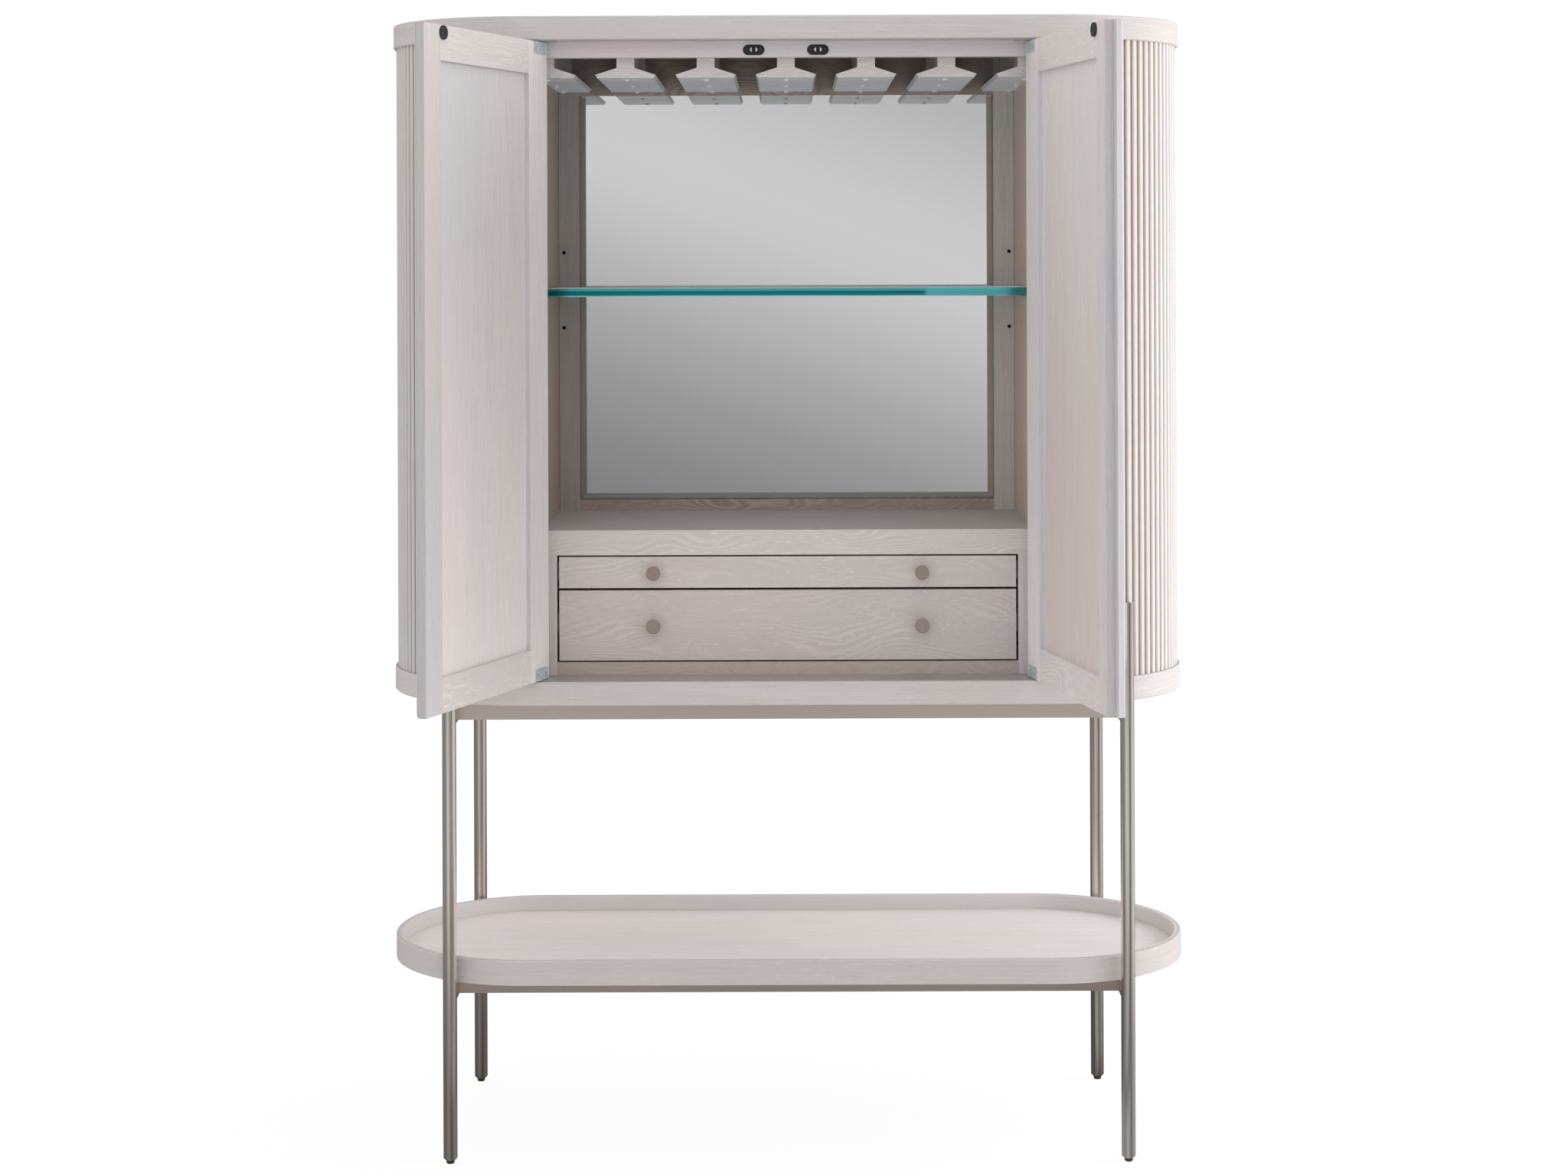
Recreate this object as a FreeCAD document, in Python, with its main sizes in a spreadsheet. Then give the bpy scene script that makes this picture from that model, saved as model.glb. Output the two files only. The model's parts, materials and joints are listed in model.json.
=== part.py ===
import FreeCAD, Part
import os
import re
import Sketcher

V = FreeCAD.Vector

# Bar cabinet on a tube stand. +Z is up and -Y is the front. The plan is a stadium: a straight
# middle and two half-round ends. In the names, "case" is the cupboard that the stand carries.
# Depths are measured back from the middle of the plan, so a front face is at minus its depth.
sizes = {
    # case
    "caseWidth": 1168.0,
    "caseDepth": 412.0,
    "caseHeight": 980.0,
    "caseBottom": 651.0,
    "boardThick": 34.0,
    "boardEase": 1.5,
    # reeded ends
    "slatSetback": 4.0,
    "slatDeep": 5.0,
    "slatWide": 9.0,
    "slatPitch": 12.7,
    "slatEase": 1.6,
    "glueLine": 0.1,
    "coreThick": 12.0,
    "backThick": 12.0,
    # inner box
    "wallInset": 23.0,
    "wallThick": 12.0,
    "jambThick": 21.0,
    "jambLip": 14.0,
    "jambFit": 0.7,
    "faceRailSetback": 9.0,
    "faceRailThick": 18.0,
    "faceRailTall": 23.0,
    # mirror and its frame
    "mirrorFrameThick": 12.0,
    "mirrorStileWide": 32.4,
    "mirrorTopRailTall": 56.0,
    "mirrorBottomRailTall": 17.0,
    "mirrorThick": 4.0,
    "mirrorBevelWide": 16.0,
    "mirrorBevelDeep": 1.6,
    "mirrorRebate": 6.0,
    "mirrorTopRebate": 17.0,
    "mirrorSlack": 1.0,
    # doors
    "frameThick": 12.5,
    "skinThick": 9.5,
    "doorLap": 11.0,
    "doorMeetGap": 1.5,
    "doorLapGap": 0.7,
    "doorSideGap": 6.0,
    "doorEndGap": 2.5,
    "hingeStileWide": 60.0,
    "freeStileWide": 34.5,
    "doorRailWide": 47.0,
    "panelThick": 6.0,
    "leftOpenAngle": 110.0,
    "rightOpenAngle": 101.2,
    # pivot hinges
    "pivotInset": 15.0,
    "pinRadius": 3.0,
    "pinFit": 0.05,
    "pinReach": 8.0,
    "pinRoom": 0.6,
    "leafLong": 42.0,
    "leafTall": 18.0,
    "leafDeep": 18.0,
    "leafThick": 1.5,
    "leafMargin": 2.5,
    "plateThick": 1.6,
    "plateLong": 45.0,
    "plateWide": 22.0,
    "plateFrontInset": 3.0,
    # magnetic catches and strikes
    "catchSpread": 46.0,
    "catchDrop": 12.6,
    "catchFit": 0.2,
    "catchLong": 31.0,
    "catchTall": 15.0,
    "catchDeep": 12.0,
    "poleThick": 1.4,
    "poleTall": 7.0,
    "poleGap": 8.0,
    "poleStand": 5.2,
    "strikeSpread": 48.0,
    "strikeRadius": 9.5,
    "strikeThick": 3.5,
    # drawer unit
    "drawerSetback": 41.0,
    "unitTall": 208.7,
    "unitTopThick": 36.0,
    "unitSideThick": 22.0,
    "drawerRailTall": 18.5,
    "drawerRailThick": 18.0,
    "drawerGap": 2.4,
    "drawerSideGap": 3.2,
    "drawerMidGap": 3.6,
    "lowerFrontShare": 0.692,
    "frontThick": 18.0,
    "slideSpace": 12.7,
    "boxSideThick": 12.0,
    "boxBackThick": 12.0,
    "boxBackGap": 21.0,
    "boxTopDrop": 5.5,
    "boxBottomRise": 6.0,
    "boxFloorThick": 6.0,
    "boxFloorRise": 5.0,
    "grooveDeep": 5.0,
    "grooveSlack": 0.2,
    # drawer slides
    "slideTall": 26.0,
    "slideMetal": 1.5,
    "slideFlange": 9.5,
    "slideRun": 0.3,
    "slideShort": 10.0,
    "slideInset": 3.0,
    # knobs
    "knobInset": 136.3,
    "knobRadius": 10.0,
    "knobThick": 10.0,
    "knobEase": 0.8,
    "knobStemRadius": 4.5,
    "knobStemLong": 10.0,
    # glass shelf
    "shelfRise": 545.4,
    "shelfThick": 12.0,
    "shelfSetback": 75.0,
    "shelfSlack": 1.5,
    "shelfHolePitch": 58.5,
    "shelfHoleInset": 8.0,
    "shelfHoleRadius": 2.5,
    "shelfPinDeep": 8.0,
    "shelfPinInset": 45.0,
    "shelfPinPlate": 1.2,
    "shelfPinWide": 9.0,
    "shelfPinLedge": 9.0,
    # stemware rails
    "stemWallGap": 8.5,
    "stemNeckHalf": 12.7,
    "stemSlotHalf": 14.25,
    "stemTipIn": 3.2,
    "stemNeckDrop": 36.5,
    "stemTipDrop": 46.5,
    "stemDrop": 51.0,
    "stemScrewRadius": 2.8,
    "stemScrewHead": 1.2,
    # stand
    "legRadius": 10.0,
    "legGap": 7.5,
    "legAngle": 62.15,
    "legTop": 795.0,
    "legWall": 1.5,
    "legCap": 3.0,
    "legPlug": 30.0,
    "legTipRadius": 7.5,
    "legTipTall": 3.0,
    "tubeWide": 20.0,
    "upperTubeTall": 25.4,
    "lowerTubeTall": 20.0,
    "tubeWall": 1.5,
    "longRailSetback": 30.0,
    "copeGap": 0.1,
    # levelling glides
    "glideRadius": 6.0,
    "glideTall": 5.2,
    "glideFlat": 4.0,
    "glideSeat": 0.2,
    "studRadius": 3.0,
    "studLong": 18.0,
    # tray
    "trayBottom": 254.0,
    "trayTall": 35.0,
    "trayFloorThick": 13.0,
    "rimThick": 11.5,
    "rimEase": 2.0,
    # one overrun for all cuts
    "overrun": 2.0,
}

# Places that follow from the sizes. Each is a formula on the names above it.
places = {
    "endRadius": "caseDepth / 2",
    "endStraight": "caseWidth / 2 - endRadius",
    "insideBottom": "caseBottom + boardThick",
    "insideTop": "caseBottom + caseHeight - boardThick",
    "insideTall": "insideTop - insideBottom",
    "faceRadius": "endRadius - slatSetback",
    "coreRadius": "faceRadius - slatDeep",
    "coreInner": "coreRadius - coreThick",
    "slatBack": "coreRadius + glueLine",
    "endSlatCount": "round(pi * faceRadius / slatPitch)",
    "endSlatStep": "180 / endSlatCount",
    "doorThick": "frameThick + skinThick",
    "doorHalf": "doorThick / 2",
    "doorInside": "faceRadius - doorThick",
    "doorBottom": "insideBottom + doorEndGap",
    "doorTall": "insideTall - 2 * doorEndGap",
    "pivotBack": "faceRadius - doorHalf",
    "pivotSide": "endStraight - doorSideGap - pivotInset",
    "doorReach": "pivotSide + doorLap / 2",
    "doorShort": "pivotSide - doorLap / 2 - doorMeetGap",
    "frameFace": "doorHalf - frameThick",
    "railFront": "doorInside - faceRailSetback",
    "railBack": "railFront - faceRailThick",
    "wallInner": "endStraight - wallInset",
    "wallOuter": "wallInner + wallThick",
    "jambBack": "railFront - jambThick",
    "backFront": "faceRadius - backThick",
    "mirrorFrameFront": "backFront - mirrorFrameThick",
    "mirrorSide": "wallInner - mirrorStileWide",
    "mirrorHigh": "insideTop - mirrorTopRailTall",
    "unitFront": "doorInside - drawerSetback",
    "unitTop": "insideBottom + unitTall",
    "mirrorLow": "unitTop + mirrorBottomRailTall",
    "mirrorBack": "backFront - mirrorSlack",
    "mirrorFace": "mirrorBack - mirrorThick",
    "unitInner": "wallInner - unitSideThick",
    "frontHalf": "unitInner - drawerSideGap",
    "frontBack": "unitFront - frontThick",
    "frontSpace": "unitTall - unitTopThick - drawerRailTall - 2 * drawerGap - drawerMidGap",
    "lowerFrontTall": "frontSpace * lowerFrontShare",
    "lowerFrontLow": "insideBottom + drawerRailTall + drawerGap",
    "upperFrontLow": "lowerFrontLow + lowerFrontTall + drawerMidGap",
    "upperFrontTall": "unitTop - unitTopThick - drawerGap - upperFrontLow",
    "boxHalf": "unitInner - slideSpace",
    "boxInner": "boxHalf - boxSideThick",
    "boxEnd": "backFront - boxBackGap",
    "boxDeep": "boxEnd + frontBack",
    "slideLong": "boxDeep - slideShort",
    "knobSide": "frontHalf - knobInset",
    "shelfBottom": "insideBottom + shelfRise",
    "shelfHoleHeight": "shelfBottom + shelfThick / 2 + shelfPinPlate",
    "shelfHoleSide": "wallInner - shelfHoleInset",
    "shelfFront": "doorInside - shelfSetback",
    "shelfBack": "mirrorFrameFront - shelfPinPlate - glueLine",
    "shelfPinFront": "shelfFront - shelfPinInset",
    "stemPitch": "(wallInner - stemWallGap) / 3",
    "stemFlangeHalf": "stemPitch / 2 - stemSlotHalf",
    "stemFootHalf": "stemFlangeHalf - stemTipIn",
    "catchHeight": "insideTop - catchDrop",
    "legStand": "endRadius + legGap + legRadius",
    "legSide": "endStraight + legStand * cos(legAngle * 1 deg)",
    "legDepth": "legStand * sin(legAngle * 1 deg)",
    "tubeFront": "legDepth - longRailSetback",
    "tubeBack": "tubeFront - tubeWide",
    "legBottom": "glideTall + glideSeat",
    "doorTop": "doorBottom + doorTall",
    "hingeStart": "0 - pivotInset",
    "hingeStop": "hingeStileWide - pivotInset",
    "freeStart": "doorShort - freeStileWide",
    "catchHalf": "(catchLong - catchTall) / 2",
    "catchRadius": "catchTall / 2",
    "studTop": "glideTall + studLong",
    "tubeInner": "legSide - tubeWide / 2",
    "upperTubeLow": "caseBottom - upperTubeTall",
    "lowerTubeLow": "trayBottom - lowerTubeTall",
    "trayTop": "trayBottom + trayTall",
    "trayFloor": "trayBottom + trayFloorThick",
    "rimInner": "endRadius - rimThick",
    "frontReach": "pivotBack + doorReach * sin(rightOpenAngle * 1 deg)"
                  " + (doorHalf - skinThick) * cos(rightOpenAngle * 1 deg)",
    "backReach": "legDepth + legRadius",
    "caseCentre": "(frontReach - backReach) / 2",
}

doc = FreeCAD.newDocument("BarCabinet")
sheet = doc.addObject("Spreadsheet::Sheet", "Sizes")
for row, (name, size) in enumerate(sizes.items(), start=1):
    sheet.set(f"A{row}", name)
    sheet.set(f"B{row}", str(size))
    sheet.setAlias(f"B{row}", name)
doc.recompute()


def linked(text):
    """The formula with each name pointed at the object that holds it."""
    def point(match):
        word = match.group()
        if word in sizes:
            return "Sizes." + word
        return "Places." + word if word in places else word
    return re.sub(r"[a-z][A-Za-z]*", point, text)


worked = doc.addObject("App::VarSet", "Places")
for name, text in places.items():
    worked.addProperty("App::PropertyFloat", name, "Places")
    worked.setExpression(name, linked(text).replace("Places.", ""))
doc.recompute()


def number(text):
    """What a formula comes to."""
    return float(sheet.evalExpression(linked(text)))


def bind(thing, formulas):
    for path, text in formulas.items():
        thing.setExpression(path, linked(text))


nodes = []


def keep(thing, label):
    thing.Label = label
    nodes.append(thing)
    return thing


def put(thing, x="0", y="0", z="0"):
    bind(thing, {"Placement.Base.x": x, "Placement.Base.y": y, "Placement.Base.z": z})
    return thing


# The case is drawn about the middle of its own plan and moved back by caseCentre, so that the
# origin lies on the floor under the middle of the whole cabinet as it stands, doors open.
def stand(thing, x="0", y="0", z="0"):
    return put(thing, x, f"{y} + caseCentre", z)


def board(name, x, y, z, place=stand):
    """A plain board between pairs of formulas: left and right, front and back, low and high."""
    box = doc.addObject("Part::Box", name)
    bind(box, {"Length": f"{x[1]} - ({x[0]})", "Width": f"{y[1]} - ({y[0]})",
               "Height": f"{z[1]} - ({z[0]})"})
    return place(box, x[0], y[0], z[0])


turns = {"Z": FreeCAD.Rotation(), "Y": FreeCAD.Rotation(V(1, 0, 0), -90),
         "X": FreeCAD.Rotation(V(0, 1, 0), 90)}


def rod(name, radius, long, x, y, z, along="Z", place=stand):
    """A round rod from x, y, z along +Z, or along +Y or +X where so asked."""
    cylinder = doc.addObject("Part::Cylinder", name)
    bind(cylinder, {"Radius": radius, "Height": long})
    cylinder.Placement = FreeCAD.Placement(V(), turns[along])
    return place(cylinder, x, y, z)


def peg(name, radius, long, x, y, z, along="Z", sides=12):
    """A small rod that is kept plain: many-sided, and inside the circle of its radius."""
    prism = doc.addObject("Part::Prism", name)
    prism.Polygon = sides
    bind(prism, {"Circumradius": radius, "Height": long})
    prism.Placement = FreeCAD.Placement(V(), turns[along])
    return stand(prism, x, y, z)


def peg_hole(name, radius, *where):
    """A many-sided hole round the circle of its radius, for such a peg."""
    return peg(name, f"({radius}) / cos(180 deg / 12)", *where)


def mirrored(name, source):
    """The same piece on the other side of the middle."""
    twin = doc.addObject("Part::Mirroring", name)
    twin.Source = source
    twin.Normal = V(1, 0, 0)
    return twin


def group(name, pieces):
    """Separate pieces of one kind, kept in one node."""
    compound = doc.addObject("Part::Compound", name)
    compound.Links = pieces
    return compound


def pair(name, piece):
    return group(name, [piece, mirrored(name + "_twin", piece)])


def cut(name, base, tools):
    tool = tools[0]
    if len(tools) > 1:
        tool = doc.addObject("Part::MultiFuse", name + "_cutters")
        tool.Shapes = tools
    result = doc.addObject("Part::Cut", name)
    result.Base = base
    result.Tool = tool
    return result


def fuse(name, pieces):
    result = doc.addObject("Part::MultiFuse", name)
    result.Shapes = pieces
    return result


# A sketch lies in the plane across its axis: Z across X and Y, X across Y and Z, and Y across
# X and Z. Every pad grows towards plus from where it starts.
planes = {"Z": "XY_Plane", "X": "YZ_Plane", "Y": "XZ_Plane"}


def origin_part(body, role):
    return next(part for part in body.Origin.OriginFeatures if part.Role == role)


def new_body(name):
    body = doc.addObject("PartDesign::Body", name)
    body.AllowCompound = True
    return body


def new_sketch(body, along, start="0"):
    sketch = body.newObject("Sketcher::SketchObject", body.Name + "_sketch")
    sketch.AttachmentSupport = [(origin_part(body, planes[along]), "")]
    sketch.MapMode = "FlatFace"
    sign = "-1" if along == "Y" else "1"
    bind(sketch, {"AttachmentOffset.Base.z": f"{sign} * ({start})"})
    return sketch


def hold(sketch, kind, places_held, text):
    """One dimension of a sketch, driven by a formula."""
    index = sketch.addConstraint(Sketcher.Constraint(kind, *places_held, number(text)))
    bind(sketch, {f"Constraints[{index}]": text})


def draw_loop(sketch, corners):
    """A closed outline of straight lines whose every corner is held at a pair of formulas."""
    first = sketch.GeometryCount
    count = len(corners)
    points = [V(number(x), number(y), 0) for x, y in corners]
    for a, b in zip(points, points[1:] + points[:1]):
        sketch.addGeometry(Part.LineSegment(a, b))
    for k in range(count):
        after = first + (k + 1) % count
        sketch.addConstraint(Sketcher.Constraint("Coincident", first + k, 2, after, 1))
    for k, (x, y) in enumerate(corners):
        hold(sketch, "DistanceX", (-1, 1, first + k, 1), x)
        hold(sketch, "DistanceY", (-1, 1, first + k, 1), y)


def draw_stadium(sketch, half, radius):
    """Two half circles a straight apart and the two lines that join them."""
    far, round_by = number(half), number(radius)
    turn = Part.Circle().LastParameter / 4
    for x, start in ((far, -turn), (-far, turn)):
        circle = Part.Circle(V(x, 0, 0), V(0, 0, 1), round_by)
        sketch.addGeometry(Part.ArcOfCircle(circle, start, start + 2 * turn))
    sketch.addGeometry(Part.LineSegment(V(far, round_by, 0), V(-far, round_by, 0)))
    sketch.addGeometry(Part.LineSegment(V(-far, -round_by, 0), V(far, -round_by, 0)))
    for edge, end, arc, arc_end in ((2, 1, 0, 2), (2, 2, 1, 1), (3, 1, 1, 2), (3, 2, 0, 1)):
        sketch.addConstraint(Sketcher.Constraint("Coincident", edge, end, arc, arc_end))
    for arc, middle in ((0, half), (1, "0 - " + half)):
        hold(sketch, "DistanceX", (-1, 1, arc, 3), middle)
        hold(sketch, "Radius", (arc,), radius)
        for end in (1, 2):
            hold(sketch, "DistanceX", (-1, 1, arc, end), middle)
        sketch.addConstraint(Sketcher.Constraint("PointOnObject", arc, 3, -1))


def pad(body, sketch, long, along):
    feature = body.newObject("PartDesign::Pad", body.Name + "_pad")
    feature.Profile = sketch
    feature.Reversed = along == "Y"
    bind(feature, {"Length": long})
    body.Tip = feature
    return feature


def extrusion(name, along, loops, start, long):
    """A body whose outlines are carried along one axis, from start, for a length."""
    body = new_body(name)
    sketch = new_sketch(body, along, start)
    for corners in loops:
        draw_loop(sketch, corners)
    pad(body, sketch, long, along)
    return body


def stadium(name, half, radius, start, long, along="Z"):
    body = new_body(name)
    sketch = new_sketch(body, along, start)
    draw_stadium(sketch, half, radius)
    pad(body, sketch, long, along)
    return body


def ease(body, size, kind="Chamfer"):
    """All edges of a body's two flat ends, eased."""
    doc.recompute()
    base = body.Tip
    ends = [f"Face{k}" for k, face in enumerate(base.Shape.Faces, start=1)
            if abs(face.normalAt(0, 0).z) > abs(face.normalAt(0, 0).x + face.normalAt(0, 0).y)]
    feature = body.newObject("PartDesign::" + kind, body.Name + "_ease")
    feature.Base = (base, ends)
    bind(feature, {"Radius" if kind == "Fillet" else "Size": size})
    body.Tip = feature
    return body


def turned(name, corners, half=False):
    """A body turned about Z from an outline of radius and height, right round or the right half."""
    body = new_body(name)
    sketch = new_sketch(body, "X")
    draw_loop(sketch, corners)
    feature = body.newObject("PartDesign::Revolution", name + "_turn")
    feature.Profile = sketch
    feature.ReferenceAxis = (sketch, ["V_Axis"])
    feature.Angle = 180 if half else 360
    feature.Reversed = half
    body.Tip = feature
    return body


def row(body, feature, role, count, apart):
    """Copies of a body's first feature along one of its axes."""
    pattern = body.newObject("PartDesign::LinearPattern", body.Name + "_row")
    pattern.Originals = [feature]
    pattern.Direction = (origin_part(body, role), [""])
    bind(pattern, {"Length": f"({count} - 1) * ({apart})", "Occurrences": count})
    body.Tip = pattern
    return pattern


def boxed(x, z):
    """A rectangle between two pairs of formulas."""
    return [(x[0], z[0]), (x[1], z[0]), (x[1], z[1]), (x[0], z[1])]


# The two thick boards, the curved ends and the reeds laid round them
for label, low in (("top_board", "insideTop"), ("bottom_board", "caseBottom")):
    slab = stadium(label, "endStraight", "endRadius", low, "boardThick")
    stand(keep(ease(slab, "boardEase"), label))

ring = boxed(("coreInner", "coreRadius"), ("insideBottom", "insideTop"))
core = keep(stand(turned("end_core", ring, half=True), "endStraight"), "right_end_core")
keep(mirrored("left_core", core), "left_end_core")

reeds = new_body("end_reeds")
reed_sketch = new_sketch(reeds, "Z", "insideBottom")
reed_front = [(f"{side} * (slatWide / 2 - {back})", f"0 - faceRadius + {deep}")
              for side, back, deep in (("-1", "0", "slatEase"), ("-1", "slatEase", "0"),
                                       ("1", "slatEase", "0"), ("1", "0", "slatEase"))]
draw_loop(reed_sketch, [("0 - slatWide / 2", "0 - slatBack"), *reed_front,
                        ("slatWide / 2", "0 - slatBack")])
reed = pad(reeds, reed_sketch, "insideTall", "Z")
fan = reeds.newObject("PartDesign::PolarPattern", "end_reeds_fan")
fan.Originals = [reed]
fan.Axis = (origin_part(reeds, "Z_Axis"), [""])
bind(fan, {"Angle": "endSlatStep * (endSlatCount - 1)", "Occurrences": "endSlatCount"})
reeds.Tip = fan
reeds.Placement.Rotation = FreeCAD.Rotation(V(0, 0, 1), 1)
bind(stand(reeds, "endStraight"), {"Placement.Rotation.Angle": "endSlatStep / 2"})
keep(reeds, "right_end_slats")
keep(mirrored("left_reeds", reeds), "left_end_slats")

across = ("0 - endStraight", "endStraight")
keep(board("back", across, ("backFront", "faceRadius"), ("insideBottom", "insideTop")),
     "back_panel")

# The square inner box: walls, front posts and the rail over the doorway
shelf_holes = [f"shelfHoleHeight + {k} * shelfHolePitch" for k in (-1, 0, 1)]
wall = board("wall", ("wallInner", "wallOuter"), ("0 - jambBack", "backFront"),
             ("insideBottom", "insideTop"))
wall_holes = [peg_hole(f"wall_hole_{k}", "shelfHoleRadius", "shelfPinDeep + overrun",
                       "wallInner - overrun", "0 - shelfPinFront", height, "X")
              for k, height in enumerate(shelf_holes)]
keep(pair("walls", cut("bored_wall", wall, wall_holes)), "side_walls")

post = [("wallInner", "0 - jambBack"), ("wallInner", "0 - railFront"),
        ("endStraight - glueLine", "0 - railFront"),
        ("endStraight - glueLine", "jambFit - coreInner"),
        ("endStraight + jambLip", "jambFit - sqrt(coreInner * coreInner - jambLip * jambLip)"),
        ("endStraight + jambLip", "0 - jambBack")]
keep(pair("posts", stand(extrusion("post", "Z", [post], "insideBottom", "insideTall"))), "jambs")

rail = board("face_rail", ("0 - wallInner", "wallInner"), ("0 - railFront", "0 - railBack"),
             ("insideTop - faceRailTall", "insideTop"))
sockets, catches, poles = [], [], []
for side, sign in (("left", "-1"), ("right", "1")):
    middle = f"{sign} * catchSpread"
    recess = stadium(f"{side}_recess", "catchHalf", "catchRadius + catchFit",
                     "0 - overrun", "catchDeep + overrun", "Y")
    sockets.append(stand(recess, middle, "0 - railFront", "catchHeight"))
    catch = stadium(f"{side}_catch", "catchHalf", "catchRadius", "0", "catchDeep", "Y")
    catches.append(stand(catch, middle, "0 - railFront", "catchHeight"))
    for plate, way in (("inner", "-1"), ("outer", "1")):
        at = f"{middle} + {way} * (poleGap + poleThick) / 2"
        poles.append(board(f"{side}_{plate}_pole", (f"{at} - poleThick / 2", f"{at} + poleThick / 2"),
                           ("0 - railFront - poleStand", "0 - railFront"),
                           ("catchHeight - poleTall / 2", "catchHeight + poleTall / 2")))
keep(cut("let_in_face_rail", rail, sockets), "top_face_rail")
keep(group("both_catches", catches), "magnetic_catches")
keep(group("all_poles", poles), "catch_poles")

# The mirror and the frame that holds it in a rebate behind its inner edge
lip, seat = "mirrorRebate + glueLine", "mirrorFace - glueLine"
stile = [("mirrorSide", "mirrorFrameFront"), ("wallInner", "mirrorFrameFront"),
         ("wallInner", "backFront"), (f"mirrorSide + {lip}", "backFront"),
         (f"mirrorSide + {lip}", seat), ("mirrorSide", seat)]
stile_holes = [peg_hole(f"stile_hole_{k}", "shelfHoleRadius", "shelfPinDeep + overrun",
                        "shelfHoleSide", "mirrorFrameFront - overrun", height, "Y")
               for k, height in enumerate(shelf_holes)]
stile_body = stand(extrusion("mirror_stile", "Z", [stile], "unitTop", "insideTop - unitTop"))
keep(pair("stiles", cut("bored_stile", stile_body, stile_holes)), "mirror_stiles")

frame_rails = []
for name, outer, inner, step in (
        ("low", "unitTop", "mirrorLow", f"mirrorLow - ({lip})"),
        ("high", "insideTop", "mirrorHigh", "mirrorHigh + mirrorTopRebate + glueLine")):
    section = [("mirrorFrameFront", inner), ("mirrorFrameFront", outer), ("backFront", outer),
               ("backFront", step), (seat, step), (seat, inner)]
    frame_rails.append(stand(extrusion(f"{name}_mirror_rail", "X", [section],
                                       "0 - mirrorSide", "2 * mirrorSide")))
keep(group("mirror_frame_rails", frame_rails), "mirror_rails")

glass_low, glass_high = "mirrorLow - mirrorRebate", "mirrorHigh + mirrorTopRebate"
plate = board("mirror_plate", ("0 - mirrorSide - mirrorRebate", "mirrorSide + mirrorRebate"),
              ("mirrorFace + mirrorBevelDeep", "mirrorBack"), (glass_low, glass_high))
bevel = doc.addObject("Part::Wedge", "mirror_bevel")
bind(bevel, {"Xmin": "mirrorBevelWide - mirrorSide - mirrorRebate",
             "Xmax": "mirrorSide + mirrorRebate - mirrorBevelWide",
             "X2min": "0 - mirrorSide - mirrorRebate", "X2max": "mirrorSide + mirrorRebate",
             "Zmin": f"{glass_low} + mirrorBevelWide", "Zmax": f"{glass_high} - mirrorBevelWide",
             "Z2min": glass_low, "Z2max": glass_high,
             "Ymin": "mirrorFace", "Ymax": "mirrorFace + mirrorBevelDeep"})
keep(fuse("bevelled_mirror", [plate, stand(bevel)]), "mirror")

# The fixed parts of the drawer unit
keep(board("unit_top", ("0 - wallInner", "wallInner"), ("0 - unitFront", "backFront"),
           ("unitTop - unitTopThick", "unitTop")), "drawer_unit_top")
keep(pair("unit_cheeks", board("unit_cheek", ("unitInner", "wallInner"),
                               ("0 - unitFront", "backFront"),
                               ("insideBottom", "unitTop - unitTopThick"))), "drawer_unit_sides")
keep(board("unit_rail", ("0 - unitInner", "unitInner"),
           ("0 - unitFront", "drawerRailThick - unitFront"),
           ("insideBottom", "insideBottom + drawerRailTall")), "drawer_bottom_rail")


def channel(web, tips, middle, half):
    """A C section: its web at one side, its two flanges reaching to the other."""
    way = f"({tips} - ({web})) / abs({tips} - ({web}))"
    inner = f"{web} + slideMetal * {way}"
    up, down = f"{middle} + {half}", f"{middle} - ({half})"
    return [(web, down), (web, up), (tips, up), (tips, f"{up} - slideMetal"),
            (inner, f"{up} - slideMetal"), (inner, f"{down} + slideMetal"),
            (tips, f"{down} + slideMetal"), (tips, down)]


drawers = {"upper": ("upperFrontLow", "upperFrontTall"), "lower": ("lowerFrontLow", "lowerFrontTall")}
slide_middles = {name: f"{low} + (boxBottomRise + {tall} - boxTopDrop) / 2"
                 for name, (low, tall) in drawers.items()}
fixed = [channel("unitInner", "unitInner - slideFlange", middle, "slideTall / 2")
         for middle in slide_middles.values()]
keep(pair("channels", stand(extrusion("channel", "Y", fixed, "slideInset - frontBack",
                                      "slideLong"))), "slide_channels")

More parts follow.
